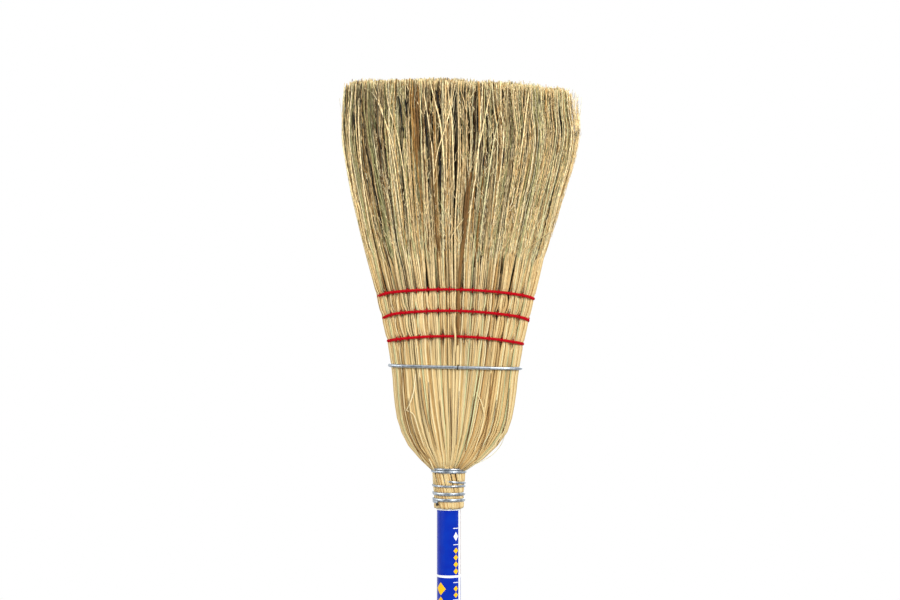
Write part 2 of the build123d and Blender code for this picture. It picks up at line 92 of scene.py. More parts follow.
# Head of the broom, in millimetres: height above the straw lip, half width, half depth, centre, and the
# half width that the straws near the middle keep to, because they spread out more slowly
HEAD_SIZES = (
    (0, 17.0, 17.0, 0.0, 17.0),
    (42, 18.6, 18.4, 0.0, 18.2),
    (45, 20.4, 18.8, 0.5, 18.6),
    (48, 25.0, 19.4, 2.2, 19.6),
    (50, 28.8, 20.4, 2.7, 21.0),
    (53, 33.4, 21.8, 3.2, 22.8),
    (58, 39.4, 24.0, 3.6, 26.0),
    (65, 46.8, 26.2, 3.9, 30.0),
    (72, 53.2, 27.6, 4.6, 34.5),
    (87, 63.2, 29.0, 6.2, 42.5),
    (101, 68.4, 29.0, 6.4, 49.5),
    (130, 73.3, 26.4, 7.0, 62.0),
    (158, 76.0, 23.8, 7.6, 72.0),
    (187, 80.4, 22.2, 8.2, 80.0),
    (216, 86.4, 21.2, 8.6, 86.4),
    (244, 93.0, 20.8, 9.0, 93.0),
    (259, 96.6, 20.8, 9.2, 96.6),
    (302, 108.0, 22.4, 9.0, 108.0),
    (359, 122.8, 25.4, 10.2, 122.8),
    (416, 136.0, 28.2, 12.4, 136.0),
    (445, 139.6, 29.0, 12.6, 139.6),
    (474, 137.4, 29.2, 11.2, 137.4),
    (512, 134.7, 29.2, 11.2, 134.7),
)
SECTION_POWER = 2.5

# Rows of twine, lowest first: how far the ends hang below the middle, and the tilt to the right
ROW_BOW = 7.5 * mm
ROW_TILT = 2.0 * mm

# How much lower still the left and right ends of each row hang, in millimetres
ROW_DROPS = ((0.3, 0.0), (3.0, 1.5), (2.0, 1.4))

# Places of the stitches on the front, as shares of the half width, lowest row first
STITCH_SHARES = (
    (-0.85, -0.79, -0.68, -0.517, -0.365, -0.19, -0.03, 0.126, 0.309, 0.476, 0.659, 0.825),
    (-0.862, -0.733, -0.672, -0.551, -0.389, -0.242, -0.09, 0.06, 0.22, 0.391, 0.551, 0.705, 0.845),
    (-0.891, -0.781, -0.611, -0.489, -0.361, -0.229, -0.089, 0.055, 0.199, 0.361, 0.514, 0.677, 0.825),
)

# Outer wire of the neck: turns from +X, and heights as shares of the neck. The third pass of the front
# comes out from under the straw.
BINDING_TURNS, BINDING_SHARES = np.transpose((
    (0.17, 0.93), (0.5, 0.925), (1.0, 0.905), (1.25, 0.89), (1.5, 0.866), (2.0, 0.846), (2.5, 0.7), (2.75, 0.63),
    (3.0, 0.572), (3.5, 0.522), (4.0, 0.512), (4.5, 0.336), (5.0, 0.322), (5.5, 0.19), (6.0, 0.178), (6.5, 0.14),
    (6.625, 0.13),
))

# Colours of the straw by tone: black-brown, brown, orange, tan, golden, cream, pale, green and olive. Tones
# from GREEN up are green or olive, and most of the others lie near MEAN_TONE.
GREEN = 0.8
MEAN_TONE = 0.53
LOW_STOPS = (
    (0.0, "#35240F"), (0.1, "#7A562A"), (0.2, "#B78B50"), (0.32, "#CEA86B"), (0.46, "#DFC186"),
    (0.6, "#E9D39E"), (0.75, "#F3E4B8"), (0.86, "#D6D3A2"), (1.0, "#B8B682"),
)
HIGH_STOPS = (
    (0.0, "#1C1205"), (0.1, "#6C4C22"), (0.2, "#AC7E3C"), (0.32, "#D2AE70"), (0.46, "#EDCE94"),
    (0.6, "#FAE2AC"), (0.75, "#FFF0C4"), (0.86, "#D2CB93"), (1.0, "#A29C65"),
)

# Straws that stand out, each by its tone, its thickness in millimetres and the places it passes through,
# measured in the photograph in pixels. The black ones, of tone 0, and the very dark thin ones low down, of
# tones 0.04 to 0.06, are painted shade: dark strands laid along the gaps between the straws.
MARKED_STRAWS = (
    (0.23, 3.4, ((478.6, 81), (479.4, 105), (479.5, 134))),
    (0.58, 1.7, ((492, 84), (487, 108), (481.5, 134), (477, 155), (474.7, 176))),
    (0.17, 1.7, ((474.7, 172), (473.6, 200), (472.5, 232))),
    (0.17, 1.3, ((414, 146), (417.7, 172), (421, 200), (423.3, 232))),
    (0.15, 3.6, ((409.6, 78), (410.5, 98), (412.5, 122), (415, 150))),
    (0.12, 3.4, ((412, 78.5), (413.2, 98), (415, 122), (416.6, 150), (417.6, 170))),
    (0.09, 3.2, ((414.6, 80), (416, 98), (417.6, 122), (418.6, 150))),
    (0.13, 2.4, ((417.4, 84), (418.6, 100), (420, 118))),
    (0.22, 1.7, ((416.6, 158), (418, 172), (419.4, 186))),
    (0.0, 3.0, ((398.4, 96), (400, 104), (401.4, 116), (402.4, 126))),
    (0.0, 2.6, ((405, 99), (406.4, 108), (407.4, 117))),
    (0.0, 2.8, ((402.4, 126), (404, 132), (405.2, 138))),
    (0.0, 3.0, ((436, 90), (437.6, 98), (438.8, 108))),
    (0.0, 2.6, ((424.6, 114), (425.8, 124), (426.6, 134), (427.2, 147))),
    (0.0, 2.4, ((438.4, 148), (439.8, 162), (440.8, 186))),
    (0.0, 2.0, ((378.4, 137), (379.8, 142), (381, 149))),
    (0.0, 2.0, ((360.4, 100), (361.2, 104), (361.6, 110))),
    (0.0, 2.4, ((353, 112), (354, 120), (354.6, 130))),
    (0.0, 2.4, ((476.6, 104), (477, 116), (477.2, 132))),
    (0.0, 2.0, ((502.6, 89), (503, 93), (503, 99))),
    (0.0, 2.2, ((484.4, 152), (483.6, 160), (482.8, 170))),
    (0.0, 2.0, ((504.6, 148), (503.8, 156), (502.6, 166))),
    (0.0, 1.8, ((538.6, 140), (538, 146), (537, 152))),
    (0.60, 1.9, ((421.5, 79), (425, 100), (429, 125), (432.5, 155), (434, 185))),
    (0.57, 1.9, ((430, 80), (434, 98), (440, 122), (443, 150), (445, 190))),
    (0.56, 1.4, ((455, 84), (451, 105), (445, 128), (438, 150), (434, 172))),
    (0.62, 1.4, ((405.5, 83), (412, 95), (419, 105), (424, 120))),
    (0.70, 1.3, ((364, 88), (369, 90), (376, 98), (384, 118), (392, 140), (397, 165))),
    (0.56, 1.6, ((374, 86), (380, 104), (387, 128), (393, 155), (398, 190), (403, 230))),
    (0.56, 1.5, ((386, 80), (388, 104), (396, 130), (402, 160), (407, 200), (410, 240))),
    (0.60, 1.6, ((352, 92), (349, 118), (350, 150), (354, 190), (362, 235))),
    (0.62, 1.5, ((359, 98), (358.5, 120), (360, 150), (364, 190), (371, 235))),
    (0.56, 2.0, ((447, 80), (449, 98), (452, 120), (453, 150), (454, 190))),
    (0.82, 1.8, ((501, 110), (495, 135), (490, 165), (485, 200), (480, 240))),
    (0.84, 1.7, ((556, 150), (551, 175), (545, 205), (538, 245))),
    (0.58, 1.8, ((530, 84), (527, 105), (524, 130), (519, 165))),
    (0.24, 1.4, ((546, 84), (546, 98), (545, 112))),
    (0.62, 1.0, ((474, 205), (464, 218), (455, 230), (450, 241))),
    (0.13, 1.5, ((441, 232), (439.6, 242), (440.5, 256))),
    (0.11, 4.2, ((470.8, 172), (468.4, 198), (465.8, 220), (463.6, 245), (461.6, 262))),
    (0.09, 3.2, ((468, 178), (465.4, 205), (463.6, 230))),
    (0.12, 4.6, ((463, 240), (460.5, 265), (458.8, 290), (458.4, 318), (457.6, 345))),
    (0.90, 2.0, ((481, 372), (478.5, 386), (475.5, 402), (471.5, 425), (466, 450))),
    (0.74, 1.8, ((415.5, 374), (413.5, 392), (409, 405), (406, 410.2))),
    (0.70, 1.5, ((406, 410.2), (410, 411.5), (414, 415), (418, 428), (424, 446))),
    (0.62, 1.7, ((476, 392), (479.5, 398), (483, 407), (484, 418), (480, 434), (474, 452))),
    (0.12, 1.6, ((491, 373), (490, 395), (488.5, 418), (484, 440), (476, 460))),
    (0.10, 1.4, ((402.5, 372), (402, 395), (405, 416), (412, 440), (424, 462))),
    (0.04, 1.2, ((408, 398), (411, 420), (419, 445), (430, 460))),
    (0.06, 1.2, ((420.2, 377), (423, 405), (429, 432))),
    (0.04, 1.2, ((428.8, 382), (430.5, 420), (437, 450))),
    (0.04, 1.2, ((450, 388), (451, 420), (451.5, 445), (450.5, 460))),
    (0.05, 1.2, ((459.2, 391), (457.6, 420), (456.5, 445))),
    (0.05, 1.1, ((509.5, 388), (506.5, 420), (497, 445))),
    (0.06, 1.1, ((496.5, 400), (493, 425), (484, 450))),
    (0.05, 1.1, ((474, 396), (470.5, 425), (465, 452))),
    (0.06, 1.0, ((440, 400), (441.5, 425), (445, 450))),
)

# Straws that cross over the bottom row of twine and over the top of the neck wire, in the same way
CROSSING_STRAWS = (
    (0.52, 2.8, ((454.4, 322), (454.9, 330), (455.3, 336), (455.3, 343), (454.9, 352))),
    (0.66, 1.9, ((429.0, 458.5), (431.8, 464.5), (434.2, 470.5))),
)

# Loose hairs beside the head and in front of it, in the same way
LOOSE_HAIRS = (
    (0.80, 0.6, ((351, 176), (347, 154), (343.6, 130), (340.6, 108), (339.4, 98))),
    (0.84, 0.5, ((349, 152), (346, 130), (344.6, 110), (345.2, 90))),
    (0.78, 0.8, ((570, 175), (574, 150), (578, 128), (580.5, 110), (581.5, 97))),
    (0.80, 0.7, ((566, 190), (571, 160), (575.5, 130), (578.5, 106), (578.5, 94))),
    (0.30, 0.7, ((573, 155), (576, 140), (577, 132))),
    (0.70, 0.6, ((568, 160), (572, 130), (574.5, 110), (575, 95))),
    (0.82, 0.8, ((504, 425), (505, 433), (500, 446), (489, 457), (470, 466.5))),
)


def colour(code):
    """An sRGB hex value as a linear colour."""
    shares = [int(code[place:place + 2], 16) / 255 for place in (1, 3, 5)]
    linear = [c / 12.92 if c <= 0.04045 else ((c + 0.055) / 1.055) ** 2.4 for c in shares]
    return (*linear, 1.0)


def add_node(tree, kind, inputs=(), stops=(), points=(), handle="AUTO_CLAMPED", **settings):
    """Add a node with its settings, its ramp's stops or its curve's points, and set or link its inputs in order
    or by name. A kind without a prefix is a shader node, and its operation can follow after a space. A kind in
    capitals is the operation of a math node. A map range gives 0 to 1 where no other range is given."""
    kind, _, operation = ("Math " * kind.isupper() + kind).partition(" ")
    node = tree.nodes.new(kind if "Node" in kind else "ShaderNode" + kind)
    if operation:
        node.operation = operation
    for name, value in settings.items():
        setattr(node, name, value)
    for index, (place, code) in enumerate(stops):
        ramp = node.color_ramp.elements
        stop = ramp[index] if index < len(ramp) else ramp.new(1.0)
        stop.position, stop.color = place, colour(code)
    if points:
        curve = node.mapping.curves[0].points
        while len(curve) < len(points):
            curve.new(0.5, 0.5)
        for point, place in zip(curve, points):
            point.location, point.handle_type = place, handle
        node.mapping.update()
    for key, value in (inputs if isinstance(inputs, dict) else dict(enumerate(inputs))).items():
        if isinstance(value, bpy.types.Node):
            value = next(socket for socket in value.outputs if socket.enabled)
        if isinstance(value, bpy.types.NodeSocket):
            tree.links.new(value, node.inputs[key])
        else:
            node.inputs[key].default_value = value
    return node


def head_points(column):
    """One column of the head's sizes against the share of its height, as shares of the column's largest."""
    largest = max(row[column] for row in HEAD_SIZES)
    return [(row[0] * mm / HEAD, row[column] / largest) for row in HEAD_SIZES], largest * mm


def head_size(z):
    """Half width, half depth and centre of the head at a height."""
    heights = [row[0] * mm for row in HEAD_SIZES]
    return [np.interp(z - LIP, heights, [row[column] * mm for row in HEAD_SIZES]) for column in (1, 2, 3)]


def on_head(across, deep, z, aside=0.0, proud=0.0):
    """Place on the head at a height, for a place on the unit outline, moved out to the side and in depth."""
    half_width, half_depth, centre = head_size(z)
    return centre + (half_width + aside) * across, (half_depth + proud) * deep, z


def round_pole(radius, turn, z):
    """Points at a radius from the pole's axis, at turns from +X."""
    angle = 2 * pi * turn
    return list(zip(radius * np.cos(angle), radius * np.sin(angle), z))


def rim(turn):
    """Place on the unit outline of the head's section, for turns from +X, against the clock from above."""
    angle = 2 * pi * np.asarray(turn)
    flat = 2 / SECTION_POWER
    across = np.sign(np.cos(angle)) * np.abs(np.cos(angle)) ** flat
    deep = np.sign(np.sin(angle)) * np.abs(np.sin(angle)) ** flat
    return across, deep


def even_turns(shares, first=0.0, last=1.0):
    """Turns between a first and a last one for shares of the way along the rim."""
    turns = np.linspace(first, last, 4001)
    across, deep = rim(turns)
    way = np.append(0.0, np.cumsum(np.hypot(np.diff(across), 0.22 * np.diff(deep))))
    return np.interp(shares, way / way[-1], turns)


def outline_depth(x, z):
    """Half depth of the head at a place across it and a height."""
    half_width, half_depth, centre = head_size(z)
    share = min(abs(x - centre) / half_width, 1.0)
    return half_depth * (1 - share ** SECTION_POWER) ** (1 / SECTION_POWER)


def on_front(column, row, proud):
    """Place on the front of the head, or beside it, of a point measured in the photograph in pixels."""
    flat = np.array([(column - AXIS_COLUMN) * PIXEL, TIP - (row - TIP_ROW) * PIXEL])
    eye = np.array([CAMERA_X, CAMERA_HEIGHT])
    deep = 0.0
    for _ in range(3):
        x, z = eye + (flat - eye) * (1 - deep / CAMERA_DISTANCE)
        deep = outline_depth(x, z) + proud
    return Vector((x, -min(deep, DEPTH_LIMIT), z))


def smooth_path(points, step):
    """Points about a step apart on a smooth curve through a few given ones."""
    points = [2 * points[0] - points[1], *points, 2 * points[-1] - points[-2]]
    path = []
    for before, start, end, after in zip(points, points[1:], points[2:], points[3:]):
        count = max(2, round((end - start).length / step))
        for index in range(count):
            t = index / count
            path.append(0.5 * (2 * start + (end - before) * t + (2 * before - 5 * start + 4 * end - after) * t**2
                               + (3 * start - before - 3 * end + after) * t**3))
    return path + [points[-2]]


def material(name):
    """A new material, and the helper that adds nodes to its empty tree."""
    made = bpy.data.materials.new(name)
    made.use_nodes = True
    made.node_tree.nodes.clear()
    return made, partial(add_node, made.node_tree)


def finish_material(made, add, bump=None, **values):
    """Close a material's tree with a shader of these values. A bump is its strength, its height in millimetres
    and the node that gives it."""
    values = {key.replace("_", " "): value for key, value in values.items()}
    if bump:
        strength, height, source = bump
        values["Normal"] = add("Bump", {"Strength": strength, "Distance": height * mm, "Height": source})
    add("OutputMaterial", [add("BsdfPrincipled", values)])
    return made


def make_straw_material(name, roughness):
    """Dried broom corn, golden and smooth low down, tan to olive and dull where it divides into fibres.

    The tone attribute picks one straw's colour, and the shade attribute is painted shade: it darkens the
    straws that lie deeper and those in the grooves. A noise stretched along the straw gives it streaks, and a
    shorter one the knots of the upper part. The upper part is a little darker low down and lighter at the tips.
    """
    made, add = material(name)
    tone = add("Attribute", attribute_name="tone")
    shade = add("Attribute", attribute_name="shade")
    place = add("TexCoord").outputs["Object"]
    stretched = add("Mapping", {0: place, 3: (1100, 1100, 40)})
    streak = add("TexNoise", {0: stretched, 2: 1.0, 3: 2.0, 4: 0.65})
    knots = add("Mapping", {0: place, 3: (800, 800, 260)})
    knots = add("TexNoise", {0: knots, 2: 1.0, 3: 1.0})
    low, high = (add("ValToRGB", [tone.outputs["Fac"]], stops=stops) for stops in (LOW_STOPS, HIGH_STOPS))
    height = add("SeparateXYZ", [place]).outputs[2]
    up = add("MapRange", [height, ROWS[0] - 20 * mm, ROWS[2] + 110 * mm])
    base = add("Mix", {0: up, 6: low, 7: high}, data_type="RGBA")
    light = add("MapRange", [streak, 0.3, 0.7, 0.85, 1.065])
    knobby = add("MapRange", [knots, 0.36, 0.64, 0.68, 1.36])
    # The upper part grows a little lighter towards the tips
    lighter_towards_tips = add("MapRange", [height, ROWS[2] + 60 * mm, TIP - 50 * mm, 0.91, 1.06])
    knobby = add("MULTIPLY", [knobby, lighter_towards_tips])
    knobby = add("Mix", {0: up, 2: 1.0, 3: knobby})
    light = add("MULTIPLY", [light, knobby])
    # Painted shade: the shade attribute darkens the deeper straws and the grooves
    streaks_and_painted_shade = add("MULTIPLY", [light, shade.outputs["Fac"]])
    colour_with_painted_shade = add("VectorMath SCALE", {0: base.outputs[2], 3: streaks_and_painted_shade})
    return finish_material(made, add, (0.25, 0.2, streak), Base_Color=colour_with_painted_shade, Roughness=roughness,
                           Specular_IOR_Level=0.25)


def make_mottled(name, scale, detail, stops, roughness, stretch=(1, 1, 1), bump=None, **values):
    """A plain material: one noise runs through its colours. It can also move the roughness between two values,
    and make a bump, given by its strength and its height in millimetres."""
    made, add = material(name)
    place = add("TexCoord").outputs["Object"]
    place = add("Mapping", {0: place, 3: stretch})
    noise = add("TexNoise", {0: place, 2: scale, 3: detail})
    if isinstance(roughness, tuple):
        roughness = add("MapRange", [noise, 0.3, 0.7, *roughness])
    return finish_material(made, add, bump and (*bump, noise), Roughness=roughness,
                           Base_Color=add("ValToRGB", [noise], stops=stops), **values)


def make_pole_wood():
    """Turned hardwood under thin clear lacquer: fine pale grain along the pole."""
    made, add = material("lacquered_hardwood")
    place = add("TexCoord").outputs["Object"]
    stretched = add("Mapping", {0: place, 3: (260, 260, 7)})
    grain = add("TexNoise", {0: stretched, 2: 1.0, 3: 5.0, 4: 0.62, 8: 0.6})
    pores = add("Mapping", {0: place, 3: (1800, 1800, 60)})
    pore = add("TexNoise", {0: pores, 2: 1.0, 3: 2.0})
    tint = add("ValToRGB", [grain], stops=((0.3, "#B98B57"), (0.5, "#D2AA74"), (0.7, "#E2C08C")))
    speck = add("MapRange", [pore, 0.3, 0.5, 0.8, 1.0])
    tinted = add("VectorMath SCALE", {0: tint, 3: speck})
    return finish_material(made, add, (0.15, 0.1, pore), Base_Color=tinted, Roughness=0.42, Coat_Weight=0.5,
                           Coat_Roughness=0.15)


# Printing of the film, in millimetres: from and to round the pole, rightwards from the front, then from
# and to below the straw lip, and the ink. The first rings go all round.
FILM_PATCHES = (
    (-60, 60, -2, 3.2, "#F2F4F6"),
    (-60, 60, 80.4, 83.2, "#F2F4F6"),
    (-60, 60, 161.0, 163.8, "#F2F4F6"),
    (13.3, 18.6, 1.8, 240, "#EEF0F2"),
    (18.6, 20.2, 1.8, 80.4, "#C9A987"),
    (5.4, 12.8, 24.0, 24.9, "#F2F4F6"),
    (5.4, 12.8, 43.5, 44.4, "#F2F4F6"),
    (5.4, 12.8, 88.4, 89.3, "#F2F4F6"),
    (5.4, 12.8, 109.0, 109.9, "#F2F4F6"),
)

# Rows of small lozenges: middle round the pole, half width, first height below the lip, step, count, ink
FILM_LOZENGES = (
    (9.1, 3.4, 47.0, 8.2, 4, "#F5C518"),
    (9.1, 3.4, 28.2, 12.0, 1, "#F2F4F6"),
    (9.1, 3.2, 92.4, 7.6, 2, "#F5C518"),
    (-10.6, 7.0, 88.0, 17.0, 4, "#F5C518"),
)


def make_label_film():
    """Printed shrink film, glossy: blue panels between white rings, a bare white margin down one side and
    rows of small lozenges in yellow ink."""
    made, add = material("printed_shrink_film")
    place = add("TexCoord").outputs["Object"]
    parts = add("SeparateXYZ", [place]).outputs
    angle = add("ARCTAN2", [parts[0], add("MULTIPLY", [parts[1], -1.0])])
    turned = add("MULTIPLY", [angle, POLE_RADIUS / mm])
    drop = add("MULTIPLY", [add("SUBTRACT", [LIP, parts[2]]), 1 / mm])
    cloud = add("TexNoise", {0: place, 2: 60.0, 3: 2.0})
    ink = add("ValToRGB", [cloud], stops=((0.3, "#0022A0"), (0.7, "#0032AC")))
    for left, right, top, foot, code in FILM_PATCHES:
        both = add("MULTIPLY", [
            add("COMPARE", [way, (near + far) / 2, (far - near) / 2])
            for way, near, far in ((turned, left, right), (drop, top, foot))
        ])
        ink = add("Mix", {0: both, 6: ink, 7: colour(code)}, data_type="RGBA").outputs[2]
    for middle, half, top, step, count, code in FILM_LOZENGES:
        tall = add("COMPARE", [drop, top + step * count / 2, step * count / 2])
        side = add("ABSOLUTE", [add("SUBTRACT", [turned, middle])])
        lift = add("PINGPONG", [add("SUBTRACT", [drop, top]), step / 2])
        lift = add("MapRange", [lift, 0.0, step / 2, 1.1, 0.0])
        reach = add("ADD", [add("DIVIDE", [side, half]), lift])
        both = add("MULTIPLY", [add("LESS_THAN", [reach, 1.0]), tall])
        ink = add("Mix", {0: both, 6: ink, 7: colour(code)}, data_type="RGBA").outputs[2]
    crease = add("Mapping", {0: place, 3: (90, 90, 25)})
    crease = add("TexNoise", {0: crease, 2: 1.0, 3: 2.0})
    return finish_material(made, add, (0.1, 0.3, crease), Base_Color=ink, Roughness=0.16,
                           Specular_IOR_Level=0.25)


def start_tree(name, numbers):
    """A node tree that takes a geometry, some numbers and a material, as the tree, the helper that adds to it,
    its given values and the inputs' identifiers."""
    tree = bpy.data.node_groups.new(name, "GeometryNodeTree")
    sizes = {}
    for title, value in {"Geometry": None, **numbers, "Material": None}.items():
        kind = title if value is None else "Int" if isinstance(value, int) else "Float"
        socket = tree.interface.new_socket(name=title, in_out="INPUT", socket_type=f"NodeSocket{kind}")
        if value is not None:
            socket.default_value = value
        sizes[title] = socket.identifier
    tree.interface.new_socket(name="Geometry", in_out="OUTPUT", socket_type="NodeSocketGeometry")
    add = partial(add_node, tree)
    return tree, add, add("NodeGroupInput").outputs, sizes


def read(add, *names):
    """The root attributes of these names, as a tree reads them. One that the roots lack reads as zero."""
    return {name: add("GeometryNodeInputNamedAttribute", [name], data_type="FLOAT") for name in names}


def finish_tree(add, curves, ring, radius, finish):
    """Give the tree's curves a skin with the outline of a ring, and a finish."""
    skin = add("GeometryNodeCurveToMesh", {
        "Curve": curves, "Profile Curve": ring, "Scale": radius, "Fill Caps": True,
    })
    skin = add("GeometryNodeSetShadeSmooth", [skin])
    skin = add("GeometryNodeSetMaterial", {"Geometry": skin, "Material": finish})
    add("NodeGroupOutput", [skin])


def make_straw_tree():
    """Node tree that grows one straw from each root vertex, along the shape of the head."""
    tree, add, given, sizes = start_tree("grow_straws", {
        "Segments": 40, "Sides": 3, "Tip Share": 0.6, "Crinkle": 1.6 * mm, "Crinkle Length": 7 * mm,
        "Lock Spread": 5 * mm, "Swing": 6 * mm, "Bunching": 0.012, "Groove Depth": 3.4 * mm,
        "Pressing": 1.2 * mm, "Deep Shade": 0.05, "Shade Depth": 6.0 * mm, "Row Sampling": 0.0,
    })
    root = read(
        add, "across", "deep", "seed", "foot", "tip", "gather_across", "gather_deep", "inset", "bury", "sink",
        "dive", "swing_across", "swing_deep", "lean", "knobs", "width",
    )
    line = add("GeometryNodeCurvePrimitiveLine", {"End": (0, 0, 1)})
    line = add("GeometryNodeResampleCurve", {"Curve": line, "Count": given["Segments"]})
    placed = add("GeometryNodeInstanceOnPoints", {"Points": given["Geometry"], "Instance": line})
    straws = add("GeometryNodeRealizeInstances", [placed])

    # Heights of the points: even, or closer together between the rows of twine
    along = add("GeometryNodeSplineParameter").outputs["Factor"]
    across, deep = root["across"], root["deep"]
    even = add("Mix", {0: along, 2: root["foot"], 3: root["tip"]})
    low = add("MapRange", [along, 0.0, 0.24, root["foot"], ROWS[0] - 20 * mm])
    middle = add("MapRange", [along, 0.24, 0.76, 0.0, ROWS[2] - ROWS[0] + 42 * mm])
    rest = add("SUBTRACT", [root["tip"], ROWS[2] + 22 * mm])
    last = add("MapRange", [along, 0.76, 1.0, 0.0, rest])
    dense = add("ADD", [add("ADD", [low, middle]), last])
    z = add("Mix", {0: given["Row Sampling"], 2: even, 3: dense})
    height = add("MapRange", [z, LIP, TIP])

    # Size of the head there; straws near the middle spread out more slowly
    size = []
    for column in (1, 2, 3, 4):
        points, largest = head_points(column)
        share = add("FloatCurve", [1.0, height], points=points)
        size.append(add("MULTIPLY", [share, largest]))
    outline, half_depth, centre, inner_width = size
    edge = add("ABSOLUTE", [across])
    flare = add("MapRange", [edge, 0.25, 0.92], **SMOOTH)
    half_width = add("Mix", {0: flare, 2: inner_width, 3: outline})

    # Each row gathers the straws between its stitches, opens a groove at each stitch and presses under the twine
    square = add("MULTIPLY", [across, across])
    hang = add("MULTIPLY_ADD", [across, ROW_TILT, add("MULTIPLY", [square, ROW_BOW])])
    place = add("MapRange", [across, -1.0, 1.0])
    behind = add("GREATER_THAN", [deep, 0.0])
    inner = add("MapRange", [edge, 0.9, 1.0, 1.0, 0.0])

    shift = groove = press = 0.0
    for row, (below, above) in enumerate(((17, 13), (13, 11), (11, 70))):
        rise = add("ADD", [add("SUBTRACT", [z, ROWS[row]]), hang])
        low = add("MapRange", [rise, -below * mm, 0.0], **SMOOTH)
        high = add("MapRange", [rise, 0.0, above * mm, 1.0, 0.0], **SMOOTH)
        window = add("MULTIPLY", [add("MULTIPLY", [low, high]), inner])
        shares = STITCH_SHARES[row]
        count = len(shares) + 1
        marks = [(0.0, 0.0)] + [((u + 1) / 2, (i + 1) / count) for i, u in enumerate(shares)] + [(1.0, 1.0)]
        turn = add("FloatCurve", [1.0, place], points=marks, handle="VECTOR")
        turn = add("MULTIPLY_ADD", [behind, 0.5, add("MULTIPLY", [turn, float(count)])])
        angle = add("MULTIPLY", [turn, 2 * pi])
        shift = add("MULTIPLY_ADD", [add("SINE", [angle]), window, shift])
        crest = add("POWER", [add("MapRange", [add("COSINE", [angle]), -1.0, 1.0]), 10.0])
        groove = add("MULTIPLY_ADD", [crest, window, groove])
        belt = add("MapRange", [add("ABSOLUTE", [rise]), 0.0, 6 * mm, 1.0, 0.0], **SMOOTH)
        press = add("ADD", [belt, press])

    # Above the rows a straw is drawn to the middle of its lock. Its depth under the outline adds up.
    across = add("MULTIPLY_ADD", [shift, given["Bunching"], across])
    pull = add("MapRange", [z, ROWS[2] + 8 * mm, ROWS[2] + 95 * mm], **SMOOTH)
    across = add("MULTIPLY_ADD", [root["gather_across"], pull, across])
    deep = add("MULTIPLY_ADD", [root["gather_deep"], pull, deep])
    buried = add("MapRange", [z, ROWS[2] + 2 * mm, ROWS[2] + 55 * mm, 1.0, 0.0], **SMOOTH)
    diving = add("MapRange", [z, NECK_TOP, NECK_TOP + 60 * mm, 1.0, 0.0])
    inset = root["inset"]
    for share, amount in (
        (groove, given["Groove Depth"]), (press, given["Pressing"]), (buried, root["bury"]),
        (pull, root["sink"]), (diving, root["dive"]),
    ):
        inset = add("MULTIPLY_ADD", [share, amount, inset])
    half_width = add("SUBTRACT", [half_width, inset])
    half_depth = add("SUBTRACT", [half_depth, inset])
    x = add("MULTIPLY_ADD", [half_width, across, centre])
    y = add("MULTIPLY", [half_depth, deep])
    core_line = add("CombineXYZ", [x, y, z])

    # Above the rows it drifts with its neighbours and swings out, and all along it leans and crinkles
    free = add("MapRange", [z, ROWS[2], TIP])
    lock_place = add("VectorMath MULTIPLY", [core_line, (80.0, 80.0, 11.0)])
    lock = add("TexNoise", {0: lock_place, 2: 1.0, 3: 1.0})
    lock = add("VectorMath SUBTRACT", [lock.outputs["Color"], (0.5, 0.5, 0.5)])
    lock_reach = add("MULTIPLY", [given["Lock Spread"], free])
    lock_move = add("VectorMath SCALE", {0: lock, 3: lock_reach})

    swing = add("CombineXYZ", [root["swing_across"], root["swing_deep"], 0.0])
    swing_reach = add("MULTIPLY", [add("POWER", [free, 1.6]), given["Swing"]])
    swing_move = add("VectorMath SCALE", {0: swing, 3: swing_reach})
    lean_move = add("CombineXYZ", [add("MULTIPLY", [along, root["lean"]])])

    offset = add("MULTIPLY", [root["seed"], 300.0])
    crinkle_place = add("CombineXYZ", [offset, offset, add("DIVIDE", [z, given["Crinkle Length"]])])
    crinkle = add("TexNoise", {0: crinkle_place, 2: 1.0, 3: 1.0})
    crinkle = add("VectorMath SUBTRACT", [crinkle.outputs["Color"], (0.5, 0.5, 0.5)])
    fine = add("MapRange", [z, ROWS[1], ROWS[2] + 60 * mm, 0.25, 2.0])
    crinkle_reach = add("MULTIPLY", [add("MULTIPLY", [given["Crinkle"], fine]), root["knobs"]])
    crinkle_move = add("VectorMath SCALE", {0: crinkle, 3: crinkle_reach})

    moved = core_line
    for move in (lock_move, swing_move, lean_move, crinkle_move):
        moved = add("VectorMath ADD", [moved, move])
    # No straw leaves the outline
    parts = add("SeparateXYZ", [moved])
    beside = add("SUBTRACT", [parts.outputs[0], centre])
    widest = add("ADD", [outline, 0.3 * mm])
    beside = add("Clamp", [beside, add("MULTIPLY", [widest, -1.0]), widest])
    held_x = add("ADD", [beside, centre])
    held_y = add("Clamp", [parts.outputs[1], -DEPTH_LIMIT, DEPTH_LIMIT])
    held = add("CombineXYZ", [held_x, held_y, z])
    straws = add("GeometryNodeSetPosition", {"Geometry": straws, "Position": held})

    # Painted shade: deeper straws and grooves are darker, less so at the tips, whose trim falls away to the right
    depth_shade = add("MapRange", [inset, 2 * mm, given["Shade Depth"], 1.0, given["Deep Shade"]])
    level = add("ADD", [z, add("MapRange", [across, 0.0, 0.9, 0.0, 11 * mm])])
    ends = add("MapRange", [level, TIP - 15 * mm, TIP - 6 * mm, 0.0, 0.8])
    depth_shade = add("Mix", {0: ends, 2: depth_shade, 3: 1.0})
    cleft = add("MapRange", [groove, 0.0, 0.9, 1.0, 0.8])
    depth_shade = add("MULTIPLY", [depth_shade, cleft])
    straws = add("GeometryNodeStoreNamedAttribute", {
        "Geometry": straws, "Name": "shade", "Value": depth_shade,
    }, data_type="FLOAT", domain="POINT")

    thinning = add("Mix", {0: add("POWER", [along, 1.6]), 2: 1.0, 3: given["Tip Share"]})
    radius = add("MULTIPLY", [thinning, root["width"]])
    ring = add("GeometryNodeCurvePrimitiveCircle", {"Resolution": given["Sides"], "Radius": 1.0})
    finish_tree(add, straws, ring, radius, given["Material"])
    return tree, sizes


